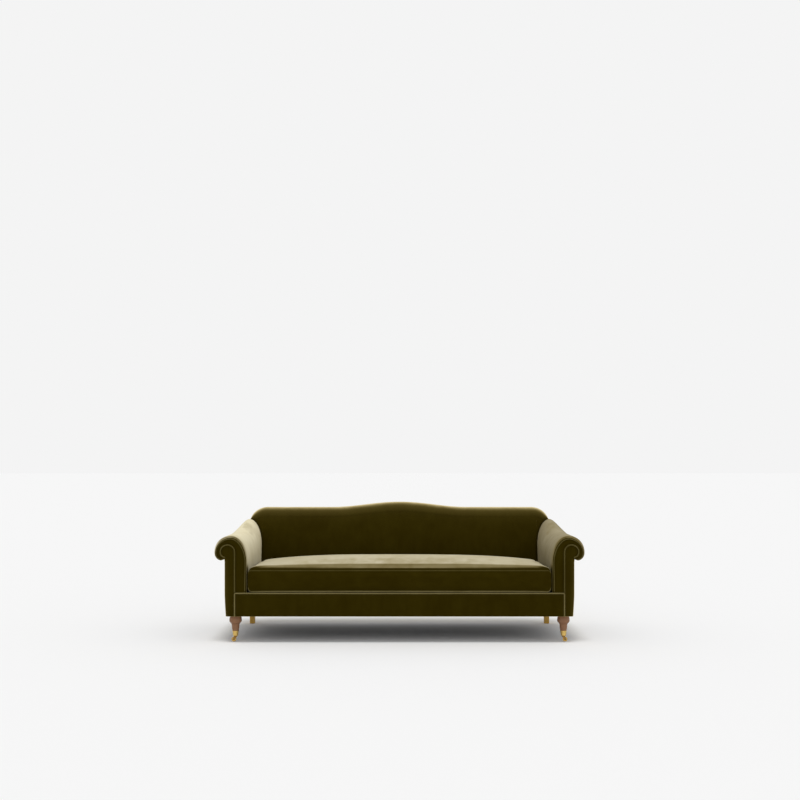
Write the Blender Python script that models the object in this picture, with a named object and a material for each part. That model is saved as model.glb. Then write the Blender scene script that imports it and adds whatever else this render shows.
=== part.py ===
"""Camel-back sofa with scrolled arms, one loose seat cushion and brass castors in front.

Metres, +Z up. The floor is z = 0, the sofa faces -Y and its width lies along X. The origin is
on the floor in the middle of the sofa's width and depth. Left and right are the viewer's.
"""

import math

import bmesh
import bpy
from mathutils import Vector

# Overall sizes
OVERALL_WIDTH = 2.300
OVERALL_DEPTH = 0.910
BACK_HEIGHT = 0.850
REAR_RAKE_SHARE = 0.11

# Gaps, cover and piping
GAP = 0.0003
COVER_THICKNESS = 0.0018
PIPING_RADIUS = 0.0035
PIPING_SIDES = 6

# Base frame
UNDERSIDE_HEIGHT = 0.1635
RAIL_HEIGHT = 0.1065
RAIL_THICKNESS = 0.0277
SIDE_RAIL_THICKNESS = 0.027
STRETCHER_WIDTH = 0.040
STRETCHER_HEIGHT = 0.060
STRETCHER_PLACE_SHARE = 0.33
CORNER_BLOCK_WIDTH = 0.060
CORNER_BLOCK_DEPTH = 0.065
CORNER_BLOCK_HEIGHT = 0.060

# Seat springs and deck
SPRING_COUNT = 8
SPRING_END_MARGIN = 0.2375
SPRING_WIRE_RADIUS = 0.002
SPRING_HALF_WIDTH = 0.024
SPRING_WAVES = 11
SPRING_BEARING = 0.014
DUST_COVER_INSET = 0.014
DUST_COVER_NOTCH_MARGIN = 0.006

# Front border
BORDER_HEIGHT = 0.145
BORDER_THICKNESS = 0.012
BORDER_EDGE_RADIUS = 0.010

# Arms
SCROLL_RADIUS = 0.099
ARM_HEIGHT = 0.6556
ARM_OUTSIDE_SETBACK = 0.061
ARM_FOOT_TUCK = 0.010
ARM_TUCK_HEIGHT = 0.134
OUTSIDE_PANEL_THICKNESS = 0.006
FACING_WIDTH = 0.064
KEYHOLE_RADIUS = 0.0444
BAND_TOP_THICKNESS = 0.046
SCROLL_LIP_WIDTH = 0.040
SCROLL_LIP_DROP = 0.0446
SCROLL_TIP_RISE = 0.007
KEYHOLE_END_DROP = 0.0326
KEYHOLE_END_INSET = 0.0286
ARM_REAR_RISE = 0.075
ARM_REAR_SWELL = 0.0065
ARM_REAR_CREST_INSET = 0.108
ARM_REAR_ARCH_HEIGHT = 0.185
ARM_SWOOP_START_SHARE = 0.45
ARM_SWOOP_END_SHARE = 0.83
ARM_REAR_SHOULDER_SHARES = (0.35, 0.02)
HOLLOW_REAR_CREST_INSET = 0.104
HOLLOW_REAR_ARCH_HEIGHT = 0.060
ARM_RAIL_SKIRT = 0.010
ARM_STATIONS = 15
ARCH_STEPS = 7
LIP_STEPS = 4
CIRCLE_HANDLE_SHARE = 0.5523

# Back
BACK_THICKNESS = 0.275
BACK_LEAN_START = 0.440
BACK_LEAN_SHARE = 0.30
BACK_CROWN = 0.012
BACK_FACE_STEPS = 4
ROLL_HEIGHT = 0.070
ROLL_STEPS = 8
ROLL_FIT_SHARE = 0.8
REAR_LIP = 0.100
HUMP_HEIGHT = 0.036
HUMP_HALF_SPAN = 0.500
SHOULDER_SPAN = 0.118
SHOULDER_DROP = 0.100
SHOULDER_OVERHANG = 0.0925
SHOULDER_PULL = 0.030
SHOULDER_EDGE = 0.005
BACK_STATION_SHARES = (0, 0.06, 0.12, 0.18, 0.24, 0.30, 0.36, 0.42, 0.48, 0.54, 0.66, 0.78, 0.89, 0.96)
BACK_PANEL_THICKNESS = 0.006
BACK_TIMBER_THICKNESS = 0.028
BACK_POST_WIDTH = 0.045
TOP_RAIL_HEIGHT = 0.105
LOWER_RAIL_HEIGHT = 0.050
LOWER_RAIL_LIFT = 0.043
CENTRE_POST_THICKNESS = 0.0137
HESSIAN_THICKNESS = 0.0015
HESSIAN_MARGIN = 0.005

# Seat cushion
CUSHION_CLEARANCE = 0.001
CUSHION_FRONT_SETBACK = 0.002
CUSHION_EDGE_HEIGHT = 0.148
CUSHION_CROWN = 0.058
CUSHION_DRAW_IN = 0.004
CUSHION_BOTTOM_RADIUS = 0.012
CUSHION_TOP_RADIUS = 0.020
CUSHION_PANEL_RAISE = 0.0065
CUSHION_PANEL_BULGE = 0.004
CUSHION_PANEL_BORDER = 0.030
CUSHION_STATIONS = 11
CUSHION_TOP_SHARES = (0.96, 0.9, 0.82, 0.7, 0.55, 0.35, 0)
CROWN_WIDTH_POWER = 4
CROWN_DEPTH_POWER = 3

# Legs
LEG_INSET_X = 0.122
LEG_INSET_Y = 0.060
LEG_TOP_RADIUS = 0.034
LEG_BULB_RADIUS = 0.039
LEG_BULB_DROP = 0.030
LEG_NECK_RADIUS = 0.0250
LEG_NECK_DROP = 0.054
LEG_ANKLE_RADIUS = 0.0195
BOLT_RADIUS = 0.004
BOLT_CLEARANCE = 0.0006
BOLT_BITE = 0.040
BOLT_REACH = 0.052
REAR_LEG_TOP = 0.038
REAR_LEG_FOOT = 0.034
REAR_LEG_INSET = 0.030
LEG_SIDES = 18
PIN_SIDES = 12
WIRE_SIDES = 4
SHARP_ANGLE = math.radians(40)

# Castors
WHEEL_RADIUS = 0.0150
WHEEL_WIDTH = 0.013
WHEEL_EDGE = 0.0015
WHEEL_SIDES = 24
WHEEL_BORE_CLEARANCE = 0.0006
AXLE_RADIUS = 0.002
AXLE_CLEARANCE = 0.0003
CASTOR_TRAIL = 0.010
FORK_GAP = 0.0006
FORK_CHEEK = 0.0022
FORK_PLATE = 0.0042
FORK_LENGTH = 0.013
FORK_FOOT = 0.005
PINTLE_RADIUS = 0.003
PINTLE_CLEARANCE = 0.0005
COLLAR_RADIUS = 0.0075
CUP_HEIGHT = 0.034
CUP_TOP_RADIUS = 0.0205
CUP_FOOT_RADIUS = 0.0160
CUP_BASE = 0.006
CUP_WALL = 0.0018
CUP_ROUND = 0.0035
CUP_FIT = 0.0004

# Places worked out from the sizes above
HALF_WIDTH = OVERALL_WIDTH / 2
PIPING_DEPTH = 2 * PIPING_RADIUS + GAP
FRONT_Y = PIPING_DEPTH - OVERALL_DEPTH / 2
RAIL_BOTTOM = UNDERSIDE_HEIGHT + COVER_THICKNESS + GAP
RAIL_TOP = RAIL_BOTTOM + RAIL_HEIGHT
PLATFORM_Z = UNDERSIDE_HEIGHT + BORDER_HEIGHT
DECK_BOTTOM = RAIL_TOP + 2 * SPRING_WIRE_RADIUS + 2 * GAP
OUTSIDE_X = HALF_WIDTH - ARM_OUTSIDE_SETBACK
FACING_X = OUTSIDE_X - FACING_WIDTH
ARM_INNER_X = HALF_WIDTH - 2 * SCROLL_RADIUS
ARM_INNER_REAR_X = ARM_INNER_X - ARM_REAR_SWELL
FRAME_OUTER_X = OUTSIDE_X - ARM_FOOT_TUCK - OUTSIDE_PANEL_THICKNESS - GAP
FRAME_START = BORDER_THICKNESS + GAP
FRAME_END = FRAME_START + RAIL_THICKNESS
TIMBER_START = BACK_PANEL_THICKNESS + GAP
TIMBER_END = TIMBER_START + BACK_TIMBER_THICKNESS
PAD_REAR = TIMBER_END + HESSIAN_THICKNESS + 2 * GAP
BACK_SIDE_HEIGHT = BACK_HEIGHT - HUMP_HEIGHT
SEAT_DEPTH = OVERALL_DEPTH - BACK_THICKNESS
SIDES = (("left", -1), ("right", 1))


def rear_y(z):
    """The raked plane of the sofa's outside back."""
    return OVERALL_DEPTH / 2 - REAR_RAKE_SHARE * (BACK_HEIGHT - ROLL_HEIGHT - z)


def behind_front(distance):
    """An upright plane, that far behind the front faces."""
    return lambda z: FRONT_Y + distance


def before_rear(distance):
    """A raked plane, that far in front of the outside back."""
    return lambda z: rear_y(z) - distance


def material(name, colour, roughness, metallic=0.0):
    """A plain Principled material."""
    made = bpy.data.materials.new(name)
    made.use_nodes = True
    shader = made.node_tree.nodes["Principled BSDF"]
    shader.inputs["Base Color"].default_value = (*colour, 1.0)
    shader.inputs["Roughness"].default_value = roughness
    shader.inputs["Metallic"].default_value = metallic
    made.diffuse_color = (*colour, 1.0)
    return made


def velvet(name):
    """Dark olive velvet."""
    return material(name, (0.060, 0.048, 0.012), 0.85)


def piping_cloth(name):
    """The same velvet round a cord, which catches more light."""
    return material(name, (0.150, 0.125, 0.055), 0.75)


def frame_timber(name):
    """Sawn hardwood of the hidden frame."""
    return material(name, (0.480, 0.340, 0.190), 0.70)


def leg_timber(name):
    """Stained and polished hardwood."""
    return material(name, (0.200, 0.095, 0.055), 0.40)


def pale_timber(name):
    """Golden hardwood of the rear legs."""
    return material(name, (0.320, 0.170, 0.045), 0.45)


def polished_brass(name):
    """Brass of the castors."""
    return material(name, (0.780, 0.530, 0.180), 0.22, 1.0)


def spring_steel(name):
    """Oiled steel of springs and bolts."""
    return material(name, (0.350, 0.350, 0.360), 0.40, 1.0)


def lining_cloth(name):
    """Black lining and hessian."""
    return material(name, (0.030, 0.028, 0.026), 0.95)


def add_object(name, verts, faces, finish, location=(0, 0, 0), smooth=True):
    """One closed body, its faces turned outwards."""
    mesh = bpy.data.meshes.new(name)
    mesh.from_pydata([tuple(v) for v in verts], [], faces)
    shape = bmesh.new()
    shape.from_mesh(mesh)
    bmesh.ops.recalc_face_normals(shape, faces=shape.faces)
    shape.to_mesh(mesh)
    shape.free()
    if smooth:
        mesh.shade_smooth()
        mesh.set_sharp_from_angle(angle=SHARP_ANGLE)
    mesh.materials.append(finish(name))
    made = bpy.data.objects.new(name, mesh)
    made.location = location
    bpy.context.scene.collection.objects.link(made)
    return made


def loft(name, rings, finish, location=(0, 0, 0), closed=False, smooth=True):
    """Rings with equal numbers of points, joined in order and capped unless the chain closes."""
    count = len(rings[0])
    verts = [point for ring in rings for point in ring]
    faces = []
    for i in range(len(rings) if closed else len(rings) - 1):
        a = i * count
        b = (i + 1) % len(rings) * count
        for j in range(count):
            k = (j + 1) % count
            faces.append((a + j, a + k, b + k, b + j))
    if not closed:
        faces.append(tuple(range(count)))
        faces.append(tuple(range(len(verts) - count, len(verts))))
    return add_object(name, verts, faces, finish, location, smooth)


def prism(name, outline, front, rear, finish, smooth=False):
    """An outline in X and Z carried along Y between two planes."""
    rings = [[(x, plane(z), z) for x, z in outline] for plane in (front, rear)]
    return loft(name, rings, finish, smooth=smooth)


def block(name, x_range, z_range, front, rear, finish):
    """A board with straight edges between two planes."""
    (x0, x1), (z0, z1) = x_range, z_range
    return prism(name, [(x0, z0), (x1, z0), (x1, z1), (x0, z1)], front, rear, finish)


def turned(name, profile, sides, finish, location=(0, 0, 0), axis="Z", phase=0.0):
    """A closed profile of (radius, height) turned about an axis, as a ring of copies."""
    rings = []
    for i in range(sides):
        angle = 2 * math.pi * (i + phase) / sides
        c, s = math.cos(angle), math.sin(angle)
        if axis == "Z":
            rings.append([(r * c, r * s, h) for r, h in profile])
        else:
            rings.append([(r * c, h, r * s) for r, h in profile])
    return loft(name, rings, finish, location, closed=True)


def rod(name, radius, start, end, sides, finish, location=(0, 0, 0), axis="Z"):
    """A straight round bar along an axis."""
    rings = []
    for height in (start, end):
        ring = []
        for i in range(sides):
            angle = 2 * math.pi * i / sides
            c, s = radius * math.cos(angle), radius * math.sin(angle)
            ring.append((c, s, height) if axis == "Z" else (c, height, s))
        rings.append(ring)
    return loft(name, rings, finish, location)


def tube(name, path, normal, radius, sides, finish, closed=False):
    """A round tube along a path that lies in the plane square to the normal."""
    points = [Vector(p) for p in path]
    normal = Vector(normal)
    rings = []
    for i, point in enumerate(points):
        if closed:
            before, after = points[i - 1], points[(i + 1) % len(points)]
        else:
            before, after = points[max(i - 1, 0)], points[min(i + 1, len(points) - 1)]
        across = (after - before).cross(normal).normalized()
        ring = []
        for j in range(sides):
            angle = 2 * math.pi * (j + 0.5) / sides
            ring.append(point + radius * (math.cos(angle) * across + math.sin(angle) * normal))
        rings.append(ring)
    return loft(name, rings, finish, closed=closed)


def mirrored(points, side):
    """The outline on the sofa's left or right."""
    return [(side * x, z) for x, z in points]


def bezier(p0, p1, p2, p3, steps):
    """Points of a cubic curve after its start."""
    made = []
    for i in range(1, steps + 1):
        t = i / steps
        weights = ((1 - t) ** 3, 3 * t * (1 - t) ** 2, 3 * t ** 2 * (1 - t), t ** 3)
        made.append(tuple(sum(w * p[k] for w, p in zip(weights, (p0, p1, p2, p3))) for k in (0, 1)))
    return made


def quarter(start, end, steps, upright_first=True):
    """A quarter of an ellipse from start to end, leaving upright or level."""
    k = CIRCLE_HANDLE_SHARE
    dx, dz = end[0] - start[0], end[1] - start[1]
    if upright_first:
        handles = (start[0], start[1] + k * dz), (end[0] - k * dx, end[1])
    else:
        handles = (start[0] + k * dx, start[1]), (end[0], end[1] - k * dz)
    return bezier(start, *handles, end, steps)


def mix(a, b, share):
    """A point or a number between two."""
    if isinstance(a, tuple):
        return tuple(mix(p, q, share) for p, q in zip(a, b))
    return a + (b - a) * share


def arm_outer(swoop):
    """The arm's covered outside, from the seat over the top to the tip of the scroll.

    A swoop of 0 is the level front end and 1 the raised rear end.
    """
    foot = (mix(ARM_INNER_X, ARM_INNER_REAR_X, swoop), PLATFORM_Z + GAP)
    front_spring = (ARM_INNER_X, ARM_HEIGHT - SCROLL_RADIUS)
    rear_crest = (HALF_WIDTH - ARM_REAR_CREST_INSET, ARM_HEIGHT + ARM_REAR_RISE)
    rear_spring = (ARM_INNER_REAR_X, rear_crest[1] - ARM_REAR_ARCH_HEIGHT)
    spring = mix(front_spring, rear_spring, swoop)
    crest = mix((HALF_WIDTH - SCROLL_RADIUS, ARM_HEIGHT), rear_crest, swoop)
    widest = (HALF_WIDTH, ARM_HEIGHT - SCROLL_RADIUS)
    lip = (HALF_WIDTH - SCROLL_LIP_WIDTH, widest[1] - SCROLL_LIP_DROP)
    tip = (OUTSIDE_X + GAP, lip[1] + SCROLL_TIP_RISE)
    shares = ARM_REAR_SHOULDER_SHARES
    run, fall = widest[0] - crest[0], crest[1] - widest[1]
    out_share = mix(CIRCLE_HANDLE_SHARE, shares[0], swoop)
    up_share = mix(CIRCLE_HANDLE_SHARE, shares[1], swoop)
    points = [foot, spring]
    points += quarter(spring, crest, ARCH_STEPS)
    points += bezier(crest, (crest[0] + out_share * run, crest[1]),
                     (widest[0], widest[1] + up_share * fall), widest, ARCH_STEPS)
    points += quarter(widest, lip, LIP_STEPS)
    points.append(tip)
    return points


def arm_hollow(swoop, inset=0.0):
    """The space inside the arm, from the end of the keyhole round its head and down its inner side.

    An inset draws the outline in by that much, for what fits inside.
    """
    front_head = (FACING_X + KEYHOLE_RADIUS, ARM_HEIGHT - BAND_TOP_THICKNESS)
    rear_head = (HALF_WIDTH - HOLLOW_REAR_CREST_INSET, front_head[1] + ARM_REAR_RISE)
    head = mix(front_head, rear_head, swoop)
    widest = (FACING_X + 2 * KEYHOLE_RADIUS, front_head[1] - KEYHOLE_RADIUS)
    end = (widest[0] - KEYHOLE_END_INSET, widest[1] - KEYHOLE_END_DROP)
    low_spring = (FACING_X, widest[1])
    high_spring = (FACING_X, rear_head[1] - HOLLOW_REAR_ARCH_HEIGHT)
    spring = mix(low_spring, high_spring, swoop)
    end = (end[0] - inset, end[1])
    widest = (widest[0] - inset, widest[1])
    head = (head[0], head[1] - inset)
    spring = (spring[0] + inset, spring[1])
    points = [end]
    points += quarter(end, widest, LIP_STEPS - 1, upright_first=False)
    points += quarter(widest, head, ARCH_STEPS)
    points += quarter(head, spring, ARCH_STEPS, upright_first=False)
    return points


def swoop_at(share):
    """How far the arm has risen at a share of its length."""
    u = (share - ARM_SWOOP_START_SHARE) / (ARM_SWOOP_END_SHARE - ARM_SWOOP_START_SHARE)
    u = min(max(u, 0.0), 1.0)
    return u * u * (3 - 2 * u)


def along_arm(start, end, section, stations):
    """Rings of a section along the arm, upright in front and raked at the rear."""
    rings = []
    for i in range(stations):
        share = i / (stations - 1)
        outline = section(swoop_at(share))
        rings.append([(x, mix(start(z), end(z), share), z) for x, z in outline])
    return rings


def flipped(rings, side):
    """Rings on the sofa's left or right."""
    return [[(side * x, y, z) for x, y, z in ring] for ring in rings]


def arm_pad(label, side):
    """Stuffing and cover of the arm: a hook from the seat over the top and round the scroll."""
    def section(swoop):
        inner = arm_hollow(swoop)
        foot = (FACING_X, PLATFORM_Z + GAP)
        return arm_outer(swoop) + inner + [foot]
    rings = along_arm(behind_front(0), before_rear(TIMBER_START), section, ARM_STATIONS)
    loft("arm_pad_" + label, flipped(rings, side), velvet)


def arm_top_rail(label, side):
    """Timber that carries the scroll between the two arm posts."""
    inset = 2 * GAP
    low = ARM_HEIGHT - BAND_TOP_THICKNESS - KEYHOLE_RADIUS - ARM_RAIL_SKIRT

    def section(swoop):
        head = arm_hollow(swoop, inset)[LIP_STEPS - 1:]
        return head + [(FACING_X + inset, low), (FACING_X + KEYHOLE_RADIUS, low)]
    rings = along_arm(behind_front(0), before_rear(TIMBER_START), section, ARM_STATIONS)
    start, end = behind_front(FRAME_END + GAP), before_rear(TIMBER_END + GAP)
    rings = [ring for ring in rings if all(start(p[2]) < p[1] < end(p[2]) for p in ring)]
    first = [(p[0], start(p[2]), p[2]) for p in rings[0]]
    last = [(p[0], end(p[2]), p[2]) for p in rings[-1]]
    loft("arm_top_rail_" + label, flipped([first] + rings + [last], side), frame_timber)


def arm_post(name, side, swoop, front, rear):
    """A board cut to the arm's keyhole shape."""
    inset = 2 * GAP
    head = arm_hollow(swoop, inset)
    neck = (FRAME_OUTER_X, head[0][1] - (OUTSIDE_X - FRAME_OUTER_X))
    foot = [(FACING_X + inset, RAIL_BOTTOM), (FRAME_OUTER_X, RAIL_BOTTOM), neck]
    prism(name, mirrored(head + foot, side), front, rear, frame_timber)


def outside_arm(label, side):
    """Covered board on the arm's outer side, tucked in a little at the foot."""
    top = arm_outer(0)[-1][1] - GAP
    bend = UNDERSIDE_HEIGHT + ARM_TUCK_HEIGHT
    outer = [(OUTSIDE_X - ARM_FOOT_TUCK, UNDERSIDE_HEIGHT), (OUTSIDE_X, bend), (OUTSIDE_X, top)]
    inner = [(x - OUTSIDE_PANEL_THICKNESS, z) for x, z in reversed(outer)]
    prism("outside_arm_panel_" + label, mirrored(outer + inner, side),
          behind_front(FRAME_START), before_rear(TIMBER_START), velvet)


def arm_facing(label, side):
    """Padded keyhole board on the front of the arm."""
    head = arm_hollow(0, GAP)
    bend = UNDERSIDE_HEIGHT + ARM_TUCK_HEIGHT
    top = arm_outer(0)[-1][1] - 2 * GAP
    foot = [(FACING_X + GAP, UNDERSIDE_HEIGHT), (OUTSIDE_X - ARM_FOOT_TUCK, UNDERSIDE_HEIGHT),
            (OUTSIDE_X, bend), (OUTSIDE_X, top)]
    prism("arm_facing_" + label, mirrored(head + foot, side),
          behind_front(0), behind_front(BORDER_THICKNESS), velvet)


def facing_piping(label, side):
    """Piping round the keyhole and down to the corner of the front border."""
    low = PLATFORM_Z + PIPING_DEPTH
    path = arm_hollow(0) + [(FACING_X, low)]
    y = FRONT_Y - PIPING_RADIUS - GAP
    tube("facing_piping_" + label, [(side * x, y, z) for x, z in path], (0, 1, 0),
         PIPING_RADIUS, PIPING_SIDES, piping_cloth)


def arm(label, side):
    """Every piece of one arm."""
    arm_pad(label, side)
    arm_top_rail(label, side)
    arm_post("arm_front_post_" + label, side, 0, behind_front(FRAME_START), behind_front(FRAME_END))
    arm_post("arm_rear_post_" + label, side, 1, before_rear(TIMBER_END), before_rear(TIMBER_START))
    outside_arm(label, side)
    arm_facing(label, side)
    facing_piping(label, side)


def base_frame():
    """Rails, stretchers and corner blocks under the seat."""
    span = FACING_X - GAP
    height = (RAIL_BOTTOM, RAIL_TOP)
    block("front_rail", (-span, span), height,
          behind_front(FRAME_START), behind_front(FRAME_END), frame_timber)
    block("rear_rail", (-span, span), height,
          before_rear(TIMBER_END), before_rear(TIMBER_START), frame_timber)
    inside_front, inside_rear = behind_front(FRAME_END + GAP), before_rear(TIMBER_END + GAP)
    rail_inner = FRAME_OUTER_X - SIDE_RAIL_THICKNESS
    block_outer = rail_inner - GAP
    block_inner = block_outer - CORNER_BLOCK_WIDTH
    block_height = (RAIL_BOTTOM, RAIL_BOTTOM + CORNER_BLOCK_HEIGHT)
    for label, side in SIDES:
        across = sorted((side * rail_inner, side * FRAME_OUTER_X))
        block("side_rail_" + label, across, height, inside_front, inside_rear, frame_timber)
        centre = side * STRETCHER_PLACE_SHARE * rail_inner
        across = (centre - STRETCHER_WIDTH / 2, centre + STRETCHER_WIDTH / 2)
        block("seat_stretcher_" + label, across, (RAIL_BOTTOM, RAIL_BOTTOM + STRETCHER_HEIGHT),
              inside_front, inside_rear, frame_timber)
        across = sorted((side * block_inner, side * block_outer))
        front_block = block("corner_block_front_" + label, across, block_height, inside_front,
                            behind_front(FRAME_END + GAP + CORNER_BLOCK_DEPTH), frame_timber)
        bore(front_block, side * (HALF_WIDTH - LEG_INSET_X), FRONT_Y + LEG_INSET_Y)
        block("corner_block_rear_" + label, across, block_height,
              before_rear(TIMBER_END + GAP + CORNER_BLOCK_DEPTH), inside_rear, frame_timber)


def bore(target, x, y):
    """An upright hole for the leg's bolt."""
    cutter = rod(target.name + "_cutter", BOLT_RADIUS + BOLT_CLEARANCE, -BACK_HEIGHT, BACK_HEIGHT,
                 PIN_SIDES, spring_steel, (x, y, 0))
    cut(target, cutter)


def cut(target, cutter, operation="DIFFERENCE"):
    """A Boolean whose cutter stays in the file as a guide."""
    cutter.hide_render = True
    cutter.display_type = "WIRE"
    modifier = target.modifiers.new(operation.title(), "BOOLEAN")
    modifier.operation = operation
    modifier.solver = "EXACT"
    modifier.object = cutter


def seat_springs():
    """Zigzag springs that lie on the front and rear rails."""
    z = RAIL_TOP + GAP + SPRING_WIRE_RADIUS
    start = FRONT_Y + FRAME_START + SPRING_BEARING
    end = rear_y(z) - TIMBER_START - SPRING_BEARING
    step = (end - start) / (4 * SPRING_WAVES)
    first = FACING_X - SPRING_END_MARGIN
    for i in range(SPRING_COUNT):
        middle = mix(-first, first, i / (SPRING_COUNT - 1))
        path = [(middle, start, z)]
        for wave in range(2 * SPRING_WAVES):
            x = middle + SPRING_HALF_WIDTH * (1 if wave % 2 else -1)
            y = start + (2 * wave + 1) * step
            path += [(x, y - step / 2, z), (x, y + step / 2, z)]
        path.append((middle, end, z))
        tube("seat_spring_%d" % (i + 1), path, (0, 0, 1), SPRING_WIRE_RADIUS, WIRE_SIDES,
             spring_steel)


def seat_platform():
    """Deck over the springs, front border with its lip, border piping and dust cover."""
    span = FACING_X - GAP
    block("seat_deck", (-span, span), (DECK_BOTTOM, PLATFORM_Z),
          behind_front(FRAME_END + GAP), before_rear(TIMBER_END + GAP), lining_cloth)
    edge = BORDER_EDGE_RADIUS
    section = [(0, UNDERSIDE_HEIGHT), (0, PLATFORM_Z - edge)]
    section += quarter((0, PLATFORM_Z - edge), (edge, PLATFORM_Z), 3)
    section += [(FRAME_END, PLATFORM_Z), (FRAME_END, DECK_BOTTOM), (BORDER_THICKNESS, DECK_BOTTOM),
                (BORDER_THICKNESS, UNDERSIDE_HEIGHT)]
    rings = [[(x, FRONT_Y + d, z) for d, z in section] for x in (-span, span)]
    loft("front_border", rings, velvet, smooth=False)
    dust_cover()
    border_piping()


def dust_cover():
    """Lining stapled under the rails, notched at the corners for the legs."""
    outer = FRAME_OUTER_X - DUST_COVER_INSET
    inner = HALF_WIDTH - LEG_INSET_X - LEG_BULB_RADIUS - DUST_COVER_NOTCH_MARGIN
    front = FRONT_Y + FRAME_START + DUST_COVER_INSET
    rear = rear_y(UNDERSIDE_HEIGHT) - TIMBER_START - DUST_COVER_INSET
    front_notch = FRONT_Y + LEG_INSET_Y + LEG_BULB_RADIUS + DUST_COVER_NOTCH_MARGIN
    rear_notch = rear_y(UNDERSIDE_HEIGHT) - REAR_LEG_INSET - REAR_LEG_TOP / 2 - DUST_COVER_NOTCH_MARGIN
    half = [(inner, front), (inner, front_notch), (outer, front_notch), (outer, rear_notch),
            (inner, rear_notch), (inner, rear)]
    outline = half + mirrored(reversed(half), -1)
    heights = (UNDERSIDE_HEIGHT, UNDERSIDE_HEIGHT + COVER_THICKNESS)
    rings = [[(x, y, z) for x, y in outline] for z in heights]
    loft("dust_cover", rings, lining_cloth, smooth=False)


def border_piping():
    """Piping up one end of the border, along its top and down the other end."""
    side_x, top = FACING_X, PLATFORM_Z
    corner = BORDER_EDGE_RADIUS
    half = [(side_x, UNDERSIDE_HEIGHT), (side_x, top - corner)]
    half += quarter((side_x, top - corner), (side_x - corner, top), 4)
    path = mirrored(half, -1) + list(reversed(half))
    y = FRONT_Y - PIPING_RADIUS - GAP
    tube("border_piping", [(x, y, z) for x, z in path], (0, 1, 0),
         PIPING_RADIUS, PIPING_SIDES, piping_cloth)


def back_top(x):
    """Height of the camel back: level sides, a hump in the middle and rounded shoulders."""
    x = abs(x)
    height = BACK_SIDE_HEIGHT
    if x < HUMP_HALF_SPAN:
        height += HUMP_HEIGHT * math.cos(math.pi * x / (2 * HUMP_HALF_SPAN)) ** 2
    return height - SHOULDER_DROP * (1 - math.sqrt(1 - shoulder_share(x) ** 2))


def shoulder_share(x):
    """How far along the shoulder's quarter round a place lies."""
    end = ARM_INNER_REAR_X + SHOULDER_OVERHANG
    return min(max((abs(x) - end + SHOULDER_SPAN) / SHOULDER_SPAN, 0.0), 1.0)


def back_stations():
    """Half of the places along the back, each with the height of the pad's underside there.

    Between the arms the pad stands on the deck; beyond them it lies on the arms' raised tops.
    """
    wall = ARM_INNER_REAR_X - GAP
    places = [(share * wall, PLATFORM_Z + GAP) for share in BACK_STATION_SHARES]
    places.append((wall, PLATFORM_Z + GAP))
    arch = arm_outer(1)[1:2 + ARCH_STEPS]
    for i, (x, z) in enumerate(arch):
        place = (x - GAP + (GAP / 2 if i == 0 else 0), z + GAP)
        if back_top(place[0]) - place[1] < SHOULDER_EDGE:
            break
        places.append(place)
    return places


def lip_height(x, bottom):
    """Height of the pad's lower edge on the outside back."""
    return max(back_top(x) - REAR_LIP, bottom + GAP)


def back_section(x, bottom):
    """The pad at one place: front face, roll over the top, rear lip and the step to the frame."""
    top = back_top(x)
    roll = min(ROLL_HEIGHT, ROLL_FIT_SHARE * (top - bottom))
    pull = SHOULDER_PULL * (1 - math.sqrt(1 - shoulder_share(x) ** 2))
    shoulder = top - roll

    def front(z):
        rise = max(z - BACK_LEAN_START, 0.0)
        full = BACK_SIDE_HEIGHT - ROLL_HEIGHT - BACK_LEAN_START
        crown = BACK_CROWN * math.sin(math.pi * min(rise / full, 1.0))
        return FRONT_Y + SEAT_DEPTH + BACK_LEAN_SHARE * rise - crown + pull

    def rear(z):
        return rear_y(z) - pull

    points = []
    for i in range(BACK_FACE_STEPS + 1):
        z = mix(bottom, shoulder, i / BACK_FACE_STEPS)
        points.append((front(z), z))
    y0, y1 = front(shoulder), rear(shoulder)
    for i in range(1, ROLL_STEPS):
        angle = math.pi * (1 - i / ROLL_STEPS)
        points.append(((y0 + y1) / 2 + (y1 - y0) / 2 * math.cos(angle), shoulder + roll * math.sin(angle)))
    lip = lip_height(x, bottom)
    points += [(y1, shoulder), (rear(lip), lip)]
    points += [(rear_y(z) - PAD_REAR, z) for z in (lip, bottom)]
    return points


def back_pad():
    """Stuffing and cover of the back in one piece."""
    half = [[(x, y, z) for y, z in back_section(x, bottom)] for x, bottom in back_stations()]
    rings = flipped(reversed(half[1:]), -1) + half
    loft("back_pad", rings, velvet)


def back_panel():
    """Covered outside back, from the underside up to the pad's lip and out over the arms' ends."""
    stations = back_stations()
    bend = UNDERSIDE_HEIGHT + ARM_TUCK_HEIGHT
    half = [(0, UNDERSIDE_HEIGHT), (OUTSIDE_X - ARM_FOOT_TUCK, UNDERSIDE_HEIGHT), (OUTSIDE_X, bend)]
    half += [p for p in reversed(arm_outer(1)[2:]) if p[0] > stations[-1][0] + GAP]
    half += [(x, lip_height(x, bottom) - GAP) for x, bottom in reversed(stations)]
    outline = half + mirrored(reversed(half[1:-1]), -1)
    prism("outside_back_panel", outline, before_rear(BACK_PANEL_THICKNESS), before_rear(0), velvet)


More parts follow.
